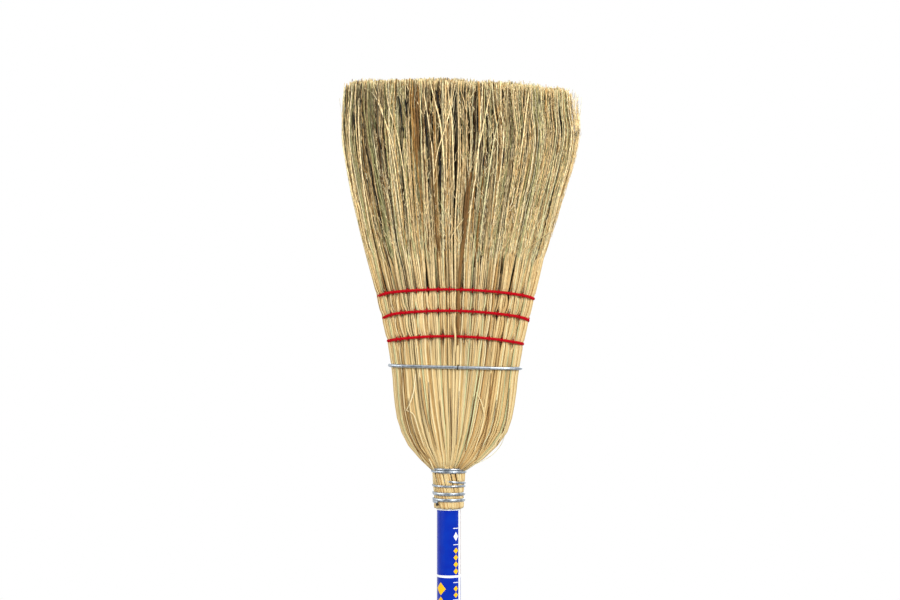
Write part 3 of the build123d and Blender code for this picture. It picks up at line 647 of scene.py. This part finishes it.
def make_path_tree():
    """Node tree that lays a round or plied strand along each chain of edges."""
    tree, add, given, sizes = start_tree("lay_strands", {
        "Sides": 6, "Twist": 0.0, "Ply Depth": 0.0, "Flatness": 1.0,
    })
    curve = add("GeometryNodeMeshToCurve", [given["Geometry"]])
    length = add("GeometryNodeSplineParameter").outputs["Length"]
    tilt = add("MULTIPLY", [length, given["Twist"]])
    curve = add("GeometryNodeSetCurveTilt", {"Curve": curve, "Tilt": tilt})
    curve = add("GeometryNodeSetCurveNormal", {"Curve": curve}, mode="Z_UP")
    ring = add("GeometryNodeCurvePrimitiveCircle", {"Resolution": given["Sides"], "Radius": 1.0})
    # The ring has three plies where a ply depth is given
    spot = add("GeometryNodeInputPosition")
    spots = add("SeparateXYZ", [spot]).outputs
    angle = add("MULTIPLY", [add("ARCTAN2", [spots[1], spots[0]]), 1.5])
    lobe = add("ABSOLUTE", [add("COSINE", [angle])])
    dip = add("MULTIPLY", [add("SUBTRACT", [1.0, lobe]), given["Ply Depth"]])
    reach = add("SUBTRACT", [1.0, dip])
    shaped = add("VectorMath SCALE", {0: spot, 3: reach})
    squash = add("CombineXYZ", [given["Flatness"], 1.0, 1.0])
    shaped = add("VectorMath MULTIPLY", [shaped, squash])
    ring = add("GeometryNodeSetPosition", {"Geometry": ring, "Position": shaped})
    finish_tree(add, curve, ring, read(add, "width")["width"], given["Material"])
    return tree, sizes


def link(name, data, place=(0, 0, 0), turned=(0, 0, 0)):
    """A new object in the scene, at a place and turned."""
    made = bpy.data.objects.new(name, data)
    made.location, made.rotation_euler = place, turned
    bpy.context.scene.collection.objects.link(made)
    return made


def make_roots(name, values, edges=()):
    """An object of vertices, with or without edges, that carry the straws' values as attributes."""
    places = values.pop("place", None)
    count = len(next(iter(values.values())))
    mesh = bpy.data.meshes.new(name)
    mesh.from_pydata([(0, 0, 0)] * count if places is None else places, edges, [])
    for key, numbers in values.items():
        attribute = mesh.attributes.new(key, "FLOAT", "POINT")
        attribute.data.foreach_set("value", np.asarray(numbers, dtype=np.float32))
    return link(name, mesh)


def bake(made, keep):
    """Turn an object with a node tree into a plain mesh, and keep only the named attributes."""
    graph = bpy.context.evaluated_depsgraph_get()
    mesh = bpy.data.meshes.new_from_object(made.evaluated_get(graph))
    made.modifiers.clear()
    old = made.data
    made.data = mesh
    bpy.data.meshes.remove(old)
    for name in [attribute.name for attribute in mesh.attributes]:
        attribute = mesh.attributes.get(name)
        if attribute and not attribute.is_required and not attribute.is_internal and name not in keep:
            mesh.attributes.remove(attribute)


def finish_piece(made, tree, sizes, finish, slot, nodes, inputs):
    """Run an object through a node tree, and say what it rides on, its finish and the nodes it stands for."""
    modifier = made.modifiers.new("strands", "NODES")
    modifier.node_group = tree
    for key, value in inputs.items():
        modifier[sizes[key.replace("_", " ").title()]] = value
    modifier[sizes["Material"]] = finish
    bake(made, ("tone", "shade"))
    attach(made, "root")
    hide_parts(*nodes)


def grow(name, values, finish, slot, nodes, **inputs):
    """Grow one piece of straw from root values."""
    finish_piece(make_roots(name, values), *STRAW_TREE, finish, slot, nodes, inputs)


def lay(name, paths, finish, slot, nodes, **inputs):
    """Lay one piece of strands, each given as its points, thickness, tone and shade."""
    edges = []
    values = {"place": [], "width": [], "tone": [], "shade": []}
    for points, *numbers in paths:
        first = len(values["place"])
        values["place"] += [tuple(point) for point in points]
        edges += [(index, index + 1) for index in range(first, first + len(points) - 1)]
        for key, number in zip(("width", "tone", "shade"), numbers):
            values[key] += list(np.broadcast_to(number, len(points)))
    finish_piece(make_roots(name, values, edges), *PATH_TREE, finish, slot, nodes, inputs)


def make_locks(chance, count):
    """Locks that the fibres gather in, round the whole rim: their edges, middles, depths, tones and leans."""
    shares = (np.arange(count + 1) + chance.uniform(-0.4, 0.4, count + 1)) / count
    shares[0], shares[-1] = 0.0, 1.0
    depths = np.minimum(chance.exponential(1.3, count), 5.0) * mm
    depths = np.where(chance.random(count) < 0.26, chance.uniform(4, 8, count) * mm, depths)
    return {
        "edges": even_turns(shares[:-1]),
        "middles": even_turns((shares[:-1] + shares[1:]) / 2),
        "sink": depths,
        "tone": chance.normal(0, 0.07, count),
        "lean": chance.normal(0, 2.2, count) * mm,
        "pull": chance.uniform(0.35, 0.85, count),
        "cut": chance.uniform(-1.6, 3.8, count) * mm,
    }


def tones(chance, count, dark, green):
    """Tones for straws: most golden to cream, a share of dark ones and a share of greenish ones."""
    tone = np.clip(chance.normal(MEAN_TONE, 0.12, count), 0.3, GREEN)
    pick = chance.random(count)
    tone = np.where(pick < dark, chance.uniform(0.03, 0.28, count), tone)
    return np.where(pick > 1 - green, chance.uniform(GREEN, 1.0, count), tone)


def trimmed_top(across):
    """Height of the trimmed tips: a square left corner, and a right end that falls away and is rounded."""
    fall = np.interp(across, (-0.1, 0.3, 0.9), (0.0, 2.4, 9.0))
    left = np.where(across < 0, 2.5 * np.abs(across) ** 30, 0.0)
    right = np.where(across > 0, 3.0 * np.abs(across) ** 24, 0.0)
    return TIP - (5.4 + fall + left + right) * mm


def stalk_values(chance, count, first, last):
    """Cover straws round a stretch of the outline, in turns, from the neck to high above the rows."""
    across, deep = rim(even_turns((chance.permutation(count) + chance.random(count)) / count, first, last))
    layer = chance.random(count)
    inward = np.where(np.abs(across) > 0.85, -np.sign(across), 1.0)
    lean = chance.normal(0, 2.0, count)
    tone = tones(chance, count, 0.045, 0.09)
    return {
        "across": across,
        "deep": deep,
        "inset": (1.5 + 5.0 * layer) * mm,
        "dive": chance.uniform(0, 3.5, count) * mm,
        "sink": chance.uniform(-0.8, 3.0, count) * mm,
        "foot": np.full(count, NECK_TOP - 8 * mm),
        "tip": np.minimum(chance.uniform(ROWS[2] + 50 * mm, ROWS[2] + 330 * mm, count), trimmed_top(across)),
        "width": chance.choice((0.8, 1.05, 1.3, 1.65), count, p=(0.3, 0.3, 0.25, 0.15)) * mm,
        "lean": np.where(inward < 0, np.abs(lean) * inward, lean) * mm,
        "swing_across": chance.normal(0, 0.5, count) * np.where(inward < 0, 0.3, 1.0),
        "swing_deep": chance.normal(0, 0.3, count),
        "knobs": chance.uniform(0.2, 1.0, count),
        "tone": np.where(tone < GREEN, 0.5 + (tone - MEAN_TONE) * 0.75, tone),
        "seed": chance.random(count),
    }


def fibre_values(chance, count, first, last, shallow, deepest, bias=1.0):
    """Fine straws round a stretch of the outline and down to a depth, from the rows to the trimmed tips.

    A bias below 1 sets them closer towards the last turn.
    """
    turn = even_turns(((chance.permutation(count) + chance.random(count)) / count) ** bias, first, last)
    across, deep = rim(turn)
    lock = np.searchsorted(LOCKS["edges"], turn % 1, side="right") - 1
    middle_across, middle_deep = rim(LOCKS["middles"][lock])
    pull = LOCKS["pull"][lock]
    uneven = np.abs(chance.normal(0, 2.2, count)) + chance.choice((0.0, 7.0, -3.0), count, p=(0.84, 0.1, 0.06))
    tip = trimmed_top(across) - LOCKS["cut"][lock] + np.maximum(deep, 0) * 5 * mm - uneven * mm + 1.2 * mm
    inward = np.where(np.abs(across) > 0.88, -np.sign(across), 0.0)
    swing = chance.normal(0, 1, count)
    green = np.where((across < -0.35) & (deep < 0), 0.26, 0.17)
    # Fewer dark straws towards the right, and the tones there a little lighter
    tone = tones(chance, count, np.where(across > 0.35, 0.07, 0.16), green)
    pale = np.interp(across, (0.2, 0.8), (0.0, 0.08))
    tone = np.where(tone < GREEN, np.clip(tone * 1.5 - 0.26 + pale, 0.03, GREEN), tone)
    return {
        "across": across,
        "deep": deep,
        "inset": (shallow + (deepest - shallow) * chance.random(count)) * mm,
        "bury": np.full(count, 6.5 * mm),
        "sink": LOCKS["sink"][lock],
        "gather_across": (middle_across - across) * pull,
        "gather_deep": (middle_deep - deep) * pull,
        "foot": chance.uniform(ROWS[2] - 14 * mm, ROWS[2] + 22 * mm, count),
        "tip": np.minimum(tip, TIP + 1 * mm),
        "width": chance.choice((0.42, 0.6, 0.85), count, p=(0.3, 0.4, 0.3)) * mm,
        "lean": LOCKS["lean"][lock] + chance.normal(0, 2.5, count) * mm,
        "swing_across": np.where(inward == 0, swing, np.abs(swing) * inward * 0.5),
        "swing_deep": chance.normal(0, 0.5, count),
        "knobs": chance.choice((0.25, 0.8, 1.5), count, p=(0.3, 0.4, 0.3)),
        "tone": np.clip(tone + np.where(tone < GREEN, LOCKS["tone"][lock], 0), 0, 1),
        "seed": chance.random(count),
    }


def twig_values(chance, count, first, last, bias):
    """Short side twigs of the fibres, slanting and knobbly, over the upper half of the head."""
    values = fibre_values(chance, count, first, last, -0.2, 2.5, bias)
    foot = ROWS[2] + HEAD * chance.uniform(0.07, 0.47, count)
    length = chance.uniform(7, 30, count) * mm
    values["foot"] = foot
    values["tip"] = np.minimum(foot + length, values["tip"])
    slant = np.tan(np.radians(chance.normal(0, 13, count)))
    inward = np.where(np.abs(values["across"]) > 0.85, -np.sign(values["across"]), 0.0)
    slant = np.where(inward == 0, slant, np.abs(slant) * inward)
    values["lean"] = slant * length
    values["width"] = chance.uniform(0.28, 0.5, count) * mm
    values["knobs"] = chance.uniform(1.0, 2.4, count)
    values["tone"] = np.clip(tones(chance, count, 0.13, 0.13) + 0.06, 0, 1)
    return values


def make_core(finish):
    """The packed straw inside, dark as painted shade: a closed shell from the neck to a blunt end among the fibres.
    """
    bore = 15.3 * mm
    end = ROWS[2] + 165 * mm
    levels = [LIP - 0.9 * mm, NECK_TOP + 3 * mm, *np.linspace(NECK_TOP + 12 * mm, end, 26)]
    sides = 48
    across, deep = rim(np.arange(sides) / sides)
    angles = 2 * pi * np.arange(sides) / sides
    # Round inside the neck, then the shape of the head
    points = []
    for z in levels:
        half_width, half_depth, centre = head_size(z)
        inset = np.interp(z, (ROWS[2], ROWS[2] + 60 * mm, end), (8.5, 11.5, 15.0)) * mm
        if z in levels[:2]:
            points += [(bore * np.cos(angle), bore * np.sin(angle), z) for angle in angles]
        else:
            wide = max(half_width - inset, bore)
            thick = max(half_depth - inset, 9 * mm)
            points += [(centre + wide * u, thick * v, z) for u, v in zip(across, deep)]
    faces = [tuple(range(sides - 1, -1, -1))]
    for low in range(0, len(points) - sides, sides):
        for side in range(sides):
            after = (side + 1) % sides
            faces.append((low + side, low + after, low + after + sides, low + side + sides))
    faces.append(tuple(range(len(points) - sides, len(points))))
    mesh = bpy.data.meshes.new("packed_core")
    mesh.from_pydata(points, [], faces)
    mesh.materials.append(finish)
    made = link("packed_core", mesh)
    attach(made, "root")
    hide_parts("core_bundle")


def make_straw():
    """All the straw of the head and the neck."""
    low = make_straw_material("dried_broom_corn_stalk", 0.5)
    high = make_straw_material("dried_broom_corn_fibre", 0.6)
    chance = np.random.RandomState(11)
    stalks = (
        ("front_stalks", 400, 0.54, 0.96, "front_hurl_cover"),
        ("back_stalks", 400, 0.04, 0.46, "back_hurl_cover"),
        ("left_stalks", 100, 0.44, 0.56, "left_shoulder_bundle"),
        ("right_stalks", 100, -0.06, 0.06, "right_shoulder_bundle"),
    )
    for name, count, first, last, node in stalks:
        grow(name, stalk_values(chance, count, first, last), low, "cover_straw", [node],
             segments=38, sides=4, tip_share=0.35, crinkle=0.9 * mm, crinkle_length=30 * mm, deep_shade=0.58,
             shade_depth=9 * mm, row_sampling=1.0)
    fibres = (
        ("front_fibres_1", 740, 0.53, 0.97, 0.4, 4.0, "front_hurl_bristles"),
        ("front_fibres_2", 740, 0.53, 0.97, 2.5, 10.0, "front_hurl_bristles"),
        ("back_fibres_1", 740, 0.03, 0.47, 0.4, 4.0, "back_hurl_bristles"),
        ("back_fibres_2", 740, 0.03, 0.47, 2.5, 10.0, "back_hurl_bristles"),
        ("left_fibres", 480, 0.42, 0.58, 0.4, 12.0, "left_shoulder_bristles"),
        ("right_fibres", 480, -0.08, 0.08, 0.4, 12.0, "right_shoulder_bristles"),
    )
    for name, count, first, last, shallow, deepest, node in fibres:
        grow(name, fibre_values(chance, count, first, last, shallow, deepest), high, "bristle_straw", [node],
             segments=24 if name.endswith("2") else 34, sides=3)
    grow("core_fibres", fibre_values(chance, 1500, 0.0, 1.0, 7.0, 28.0), high, "bristle_straw",
         ["core_bristles"], segments=22, sides=3)
    inside, count = np.random.RandomState(29), 3200
    values = fibre_values(inside, count, 0.0, 1.0, 3.0, 29.0)
    values["foot"] = values["tip"] - inside.uniform(45, 75, count) * mm
    grow("core_tips", values, high, "bristle_straw", ["core_bristles"], segments=7, sides=3)
    for name, first, last, bias, node in (
        ("front_twigs", 0.52, 0.98, 0.7, "front_hurl_bristles"),
        ("back_twigs", 0.02, 0.48, 1.0, "back_hurl_bristles"),
    ):
        grow(name, twig_values(chance, 2700, first, last, bias), high, "bristle_straw", [node],
             segments=8, sides=3, swing=2 * mm, tip_share=0.6, crinkle_length=4 * mm)
    make_marked(high)
    make_fringe(chance, high)
    make_neck(low)


def make_marked(finish):
    """The straws that stand out, the black ones painted shade. Those of the first table lie in the straw, and dip
    under the rows of twine.
    """
    marked = []
    for proud, sinking, table in ((0.6, 0.12, MARKED_STRAWS), (0.8, 0.0, LOOSE_HAIRS), (2.7, 0.0, CROSSING_STRAWS)):
        for tone, thick, points in table:
            path = smooth_path([on_front(*point, (proud - thick * sinking) * mm) for point in points], 3 * mm)
            for point in path if sinking else ():
                if point.z < HOOP:
                    point.y += 0.5 * mm
                half_width, _, centre = head_size(point.z)
                across = (point.x - centre) / half_width
                rise = min(abs(point.z - level + ROW_BOW * across**2 + ROW_TILT * across) for level in ROWS)
                point.y += 2.2 * mm * max(0.0, 1 - rise / (7 * mm))
            share = np.linspace(0, 1, len(path))
            width = thick * 0.42 * mm * (1 - 0.45 * np.abs(2 * share - 1) ** 3)
            # Painted shade: the black straws, laid along gaps, get a shade of 0.3
            marked.append((path, width, tone, 1.0 if tone else 0.3))
    lay("marked_straws", marked, finish, "bristle_straw", ["front_hurl_bristles"], sides=6)


def make_fringe(chance, finish):
    """Loose fibres at the sides of the upper half, further out on the right."""
    steps = 26
    sides = {"left": [], "right": []}
    for name, side, count, reach in (("right", 1, 34, 7.0), ("left", -1, 14, 1.2)):
        for _ in range(count):
            rise = np.linspace(0, 1, steps)
            stray = chance.random()
            top = TIP - (11 + 7 * stray + chance.uniform(0, 34)) * mm
            foot = ROWS[2] + chance.uniform(60, 160) * mm
            z = foot + (top - foot) * rise
            half_width, _, centre = head_size(z)
            wave = np.interp(z, np.linspace(ROWS[2], TIP, 60), chance.normal(0, 0.35, 60))
            off = reach * stray * rise**1.3 + wave - 0.6
            x = centre + side * (half_width + np.minimum(off, reach) * mm)
            y = np.full(steps, chance.uniform(-17, 17) * mm)
            width = chance.uniform(0.22, 0.36) * mm
            sides[name].append((list(zip(x, y, z)), width, chance.uniform(0.4, 0.86), 1.0))
    for name, paths in sides.items():
        lay(f"{name}_fringe", paths, finish, "bristle_straw", [f"{name}_shoulder_bristles"], sides=3)


def neck_wall(share):
    """Radius of the stalk ends' outside at a share of the neck's height."""
    return np.interp(share, NECK_SHARES, NECK_RADII) * mm


def make_neck(finish):
    """The cut stalk ends round the pole: they slant, and swell between the turns of the wire."""
    chance = np.random.RandomState(3)
    count = 78
    paths = []
    for index in range(count):
        width = chance.uniform(0.75, 1.4) * mm
        z = np.linspace(LIP - chance.uniform(0.2, 1.3) * mm, NECK_TOP + 1 * mm, 44)
        share = (z - LIP) / NECK
        turn = (index + chance.uniform(-0.3, 0.3)) / count - 0.1 * share + chance.normal(0, 0.012) * share
        press = np.zeros(len(z))
        for lap in range(8):
            # The third lap runs under the straw on the left half of the front
            if lap == 2 and 0.5 < turn[30] % 1 < 0.75:
                continue
            wire = np.interp(turn % 1 + lap, BINDING_TURNS, BINDING_SHARES, left=9, right=9)
            press += np.exp(-((share - wire) * NECK / (2.0 * mm)) ** 2)
        swell = 0.6 * mm * (1 - np.minimum(press, 1.0))
        rounding = 0.7 * mm * np.exp(-(z - z[0]) / (1.2 * mm))
        radius = neck_wall(share) - width + swell - rounding - chance.uniform(0, 0.5) * mm
        tone = chance.uniform(0.16, 0.3) if chance.random() < 0.22 else chance.uniform(0.36, 0.64)
        # Painted shade: each stalk darkens at its cut lower end, under the lip
        shade = 1.0 - 0.5 * np.exp(-(z - z[0]) / (0.8 * mm))
        paths.append((round_pole(radius, turn, z), width, tone, shade))
    lay("neck_stalks", paths, finish, "cover_straw", ["neck_stalk_ends"], sides=8)


def make_binding(finish):
    """The galvanised wire round the neck, drawn flat against the straw: a double band at the top, then turns."""
    turn = np.linspace(BINDING_TURNS[0], BINDING_TURNS[-1], 560)
    share = np.interp(turn, BINDING_TURNS, BINDING_SHARES)
    blur = 19
    share = np.convolve(np.pad(share, blur // 2, mode="edge"), np.ones(blur) / blur, mode="valid")
    # Where the third lap is under the straw
    hidden = np.interp(turn, (2.42, 2.5, 2.72, 2.78), (0.0, 1.0, 1.0, 0.0))
    radius = neck_wall(share) + (1.15 - 2.2 * hidden) * mm
    width = np.interp(turn, (0.17, 2.0, 2.3, 4.0, 4.4, 6.3, 6.625), (1.5, 1.5, 1.1, 1.35, 1.95, 1.95, 1.3)) * mm
    path = round_pole(radius, turn, LIP + NECK * share)
    lay("neck_binding", [(path, width, 0.5, 1.0)], finish, "galvanised_wire", ["binding_wire"],
        sides=14, flatness=0.5)


def row_place(row, turn, proud):
    """Place on a row of twine at a turn from +X, standing proud of the straw."""
    across, deep = rim(turn)
    left, right = ROW_DROPS[row]
    ends = np.clip((np.abs(across) - 0.78) / 0.22, 0.0, 1.0) ** 1.5
    z = ROWS[row] - ROW_BOW * across**2 - ROW_TILT * across - np.where(across < 0, left, right) * ends * mm
    side = proud - 2.3 * mm * np.clip((np.abs(across) - 0.9) / 0.1, 0.0, 1.0)
    return on_head(across, deep, z, side, proud)


def stitch_turn(share, back):
    """Turn at which the rim has a share of the half width, in front or behind."""
    turn = np.arccos(np.sign(share) * np.abs(share) ** (SECTION_POWER / 2)) / (2 * pi)
    return turn if back else 1 - turn


def make_twine_rows():
    """The rows of red twine with their overlapped ends, and the stitches that lock them."""
    # A stitch over the twine: height and how far it stands out, in millimetres
    arch = ((-2.9, 4.5), (-2.6, 0.6), (-1.9, -1.2), (0.0, -2.0), (1.9, -1.2), (2.6, 0.6), (2.9, 4.5))
    # Dyed polypropylene twine, twisted: saturated red with fine filaments along the plies
    finish = make_mottled("dyed_polypropylene_twine", 1500.0, 3.0, ((0.32, "#8C0210"), (0.62, "#C8061A")), 0.8,
                          bump=(0.4, 0.15), Specular_IOR_Level=0.1)
    lay_length = 11 * mm
    for row, shares in enumerate(STITCH_SHARES):
        start, end = (0.09, -0.985) if row == 1 else (0.14, -0.93)
        turn = np.linspace(start, end, 380)
        x, y, z = row_place(row, turn, 0.3 * mm)
        over = np.interp(turn, (end, end + 0.04, end + 0.08), (1.0, 1.0, 0.0))
        under = np.interp(turn, (start - 0.1, start - 0.07, start), (0.0, 1.0, 1.0))
        z = z + (over - under) * 1.6 * mm
        width = np.full(len(turn), TWINE / 2)
        for share in shares:
            width -= 0.28 * mm * np.exp(-((turn + 1 - stitch_turn(share, False)) / 0.003) ** 2)
        if row == 1:
            width = width * np.interp(turn, (end, end + 0.025), (1.3, 1.0))
        lay(f"twine_row_{row + 1}", [(list(zip(x, y, z)), width, 0.5, 1.0)], finish, "twine_red",
            [f"stitch_wrap_{row + 1}"], sides=18, twist=2 * pi / lay_length, ply_depth=0.2)
        thread = []
        for index, share in enumerate(shares):
            x, y, z = row_place(row, stitch_turn(share, False), 0.0)
            thread += [Vector((x + rise * 0.12 * mm, y + depth * mm, z + rise * mm)) for rise, depth in arch]
            if index < len(shares) - 1:
                behind = (share + shares[index + 1]) / 2
                x, y, z = row_place(row, stitch_turn(behind, True), 0.0)
                thread += [Vector((x, y - depth * mm, z - rise * mm)) for rise, depth in arch]
        lay(f"stitches_row_{row + 1}", [(thread, 0.65 * mm, 0.5, 1.0)], finish, "thread_red",
            [f"stitch_thread_{row + 1}"], sides=6)


def make_painted_cleft_shade(finish):
    """Painted shade: dark strands in the clefts where the stitches pull the straw apart, longest above the top row.
    """
    chance = np.random.RandomState(7)
    paths = []
    for row, (below, above) in enumerate((((5, 13), (3, 8)), ((3, 8), (3, 8)), ((3, 7), (12, 52)))):
        for share in STITCH_SHARES[row]:
            for back in (False, True):
                low, high = chance.uniform(*below) * mm, chance.uniform(*above) * mm
                turn = stitch_turn(share + (0.07 if back else 0.0), back)
                across, deep = rim(turn)
                middle = row_place(row, turn, 0.0)[2]
                rise = np.linspace(-low, high, 16)
                taper = 1 - np.abs(rise) / np.where(rise < 0, low, high)
                path = on_head(across, deep, middle + rise, proud=(0.35 - 0.9 * taper) * mm)
                paths.append((list(zip(*path)), (0.1 + 0.68 * taper) * mm, 0.5, 1.0))
    lay("painted_stitch_cleft_shade", paths, finish, "inner_straw", ["core_bundle"], sides=6)


def lay_hoop(finish, pin_finish):
    """The galvanised hoop: one wire round the shoulders, its nib at the right, pinched by a staple in front and
    another behind."""
    turn = np.linspace(0.03, -0.94, 300)
    across, deep = rim(turn)
    level = HOOP - 1.8 * mm * across
    level = level - 4.2 * mm * np.interp(turn, (-0.94, -0.93, -0.88), (1.0, 1.0, 0.0))
    proud = (0.9 + 1.4 * np.interp(turn, (-0.01, 0.03), (0.0, 1.0))) * mm
    path = list(zip(*on_head(across, deep, level, proud, proud)))
    lay("shoulder_hoop", [(path, 2.0 * mm, 0.5, 1.0)], finish, "galvanised_wire", ["hoop_wire"], sides=14)
    x = 10.6 * mm
    y = outline_depth(x, HOOP)
    arch = ((-2.6, -3.0), (-2.4, 1.5), (-1.6, 2.9), (0.0, 3.2), (1.6, 2.9), (2.4, 1.5), (2.6, -3.0))
    paths = []
    for side in (-1, 1):
        points = [Vector((x + rise * 0.15 * mm, side * (y + out * mm), HOOP + rise * mm)) for rise, out in arch]
        paths.append((smooth_path(points, 0.5 * mm), 0.6 * mm, 0.5, 1.0))
    lay("hoop_pins", paths, pin_finish, "galvanised_wire", ["hoop_staples"], sides=8)


def finish_cad():
    """Give the CAD pieces that stay their finishes, and lay the wires, which share them."""
    # Galvanised steel wire, hot dipped and drawn: pale grey zinc with faint dull patches
    wire = make_mottled("galvanised_steel_wire", 350.0, 3.0, ((0.3, "#8B959F"), (0.7, "#C4CCD4")), (0.32, 0.44),
                        Metallic=1.0)
    # Bright-drawn steel nail gone dark with oxide
    nails = make_mottled("oxidised_nail_steel", 900.0, 4.0, ((0.3, "#2B2622"), (0.7, "#5A5048")), 0.5,
                         Metallic=1.0)
    finishes = {
        "handle": make_pole_wood(), "label_sleeve": make_label_film(), "inner_binding_wire": wire,
        "binding_nails": nails,
    }
    for node, finish in finishes.items():
        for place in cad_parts[node].material_slots:
            place.material = finish
    make_binding(wire)
    lay_hoop(wire, nails)


def make_stage():
    """A pale floor that keeps the broom's shadow: the camera and reflections see it a little darker, so that
    the lamps only just bring it to white."""
    made, add = material("pale_floor")
    path = add("LightPath")
    seen = add("MAXIMUM", [path.outputs["Is Camera Ray"], path.outputs["Is Glossy Ray"]])
    shader = add("BsdfDiffuse", [colour("#F4F4F2")])
    shown = add("BsdfDiffuse", [colour("#E4E4E3")])
    mixed = add("MixShader", [seen, shader, shown])
    add("OutputMaterial", [mixed])
    bpy.ops.mesh.primitive_circle_add(vertices=96, radius=0.8, fill_type="NGON")
    floor = bpy.context.object
    floor.name = "floor"
    floor.data.materials.append(made)


def make_light():
    """Soft studio light from both sides and above, in a white world that shows to the camera. Reflections see
    it darker low down and in front, and it lights the broom at about half its strength."""
    lamps = (
        ("key", (1.5, -2.1, 2.1), 1.0, 64.0),
        ("fill", (-2.4, -1.3, 1.6), 1.8, 36.0),
        ("top", (0.0, 0.3, 3.0), 1.4, 16.0),
        ("rim", (0.6, 2.2, 1.8), 1.6, 26.0),
    )
    head_middle = Vector((0, 0, 1.15))
    for name, place, side, power in lamps:
        data = bpy.data.lights.new(name, "AREA")
        data.size, data.energy = side, power
        aim = head_middle - Vector(place)
        link(name, data, place, aim.to_track_quat("-Z", "Y").to_euler())
    world = bpy.data.worlds.new("studio")
    world.use_nodes = True
    world.node_tree.nodes.clear()
    add = partial(add_node, world.node_tree)
    path = add("LightPath")
    seen = path.outputs["Is Camera Ray"]
    for ray in ("Is Glossy Ray", "Is Transmission Ray"):
        seen = add("MAXIMUM", [seen, path.outputs[ray]])
    way = add("SeparateXYZ", [add("TexCoord").outputs["Generated"]]).outputs
    above = add("MULTIPLY_ADD", [way[2], 0.9, way[1]])
    backdrop = add("MapRange", [above, -0.7, 0.4, 0.28, 1.0], **SMOOTH)
    shown = add("MAXIMUM", [backdrop, path.outputs["Is Camera Ray"]])
    strength = add("Mix", {0: seen, 2: 0.55, 3: shown})
    sky = add("Background", [colour("#FFFFFF"), strength])
    add("OutputWorld", [sky])
    bpy.context.scene.world = world


def make_camera():
    """The photograph's view: level, along +Y, with the middle of the frame at the camera's height."""
    data = bpy.data.cameras.new("camera")
    data.sensor_width = SENSOR
    data.lens = SENSOR * CAMERA_DISTANCE / (PHOTO_WIDTH * PIXEL)
    bpy.context.scene.camera = link("camera", data, (CAMERA_X, -CAMERA_DISTANCE, CAMERA_HEIGHT), (radians(90), 0, 0))


make_camera()
make_light()
make_stage()
STRAW_TREE = make_straw_tree()
PATH_TREE = make_path_tree()
finish_cad()
LOCKS = make_locks(np.random.RandomState(5), 124)
# Packed inner straw, coloured dark as painted shade, seen only as the dark at the bottom of the gaps
painted_shade_straw = make_mottled("packed_straw_painted_shade", 1.0, 3.0, ((0.35, "#1E1308"), (0.7, "#4E3819")), 0.9,
                          stretch=(500, 500, 20))
make_core(painted_shade_straw)
make_painted_cleft_shade(painted_shade_straw)
make_straw()
make_twine_rows()

bpy.context.scene.view_settings.view_transform = "Standard"
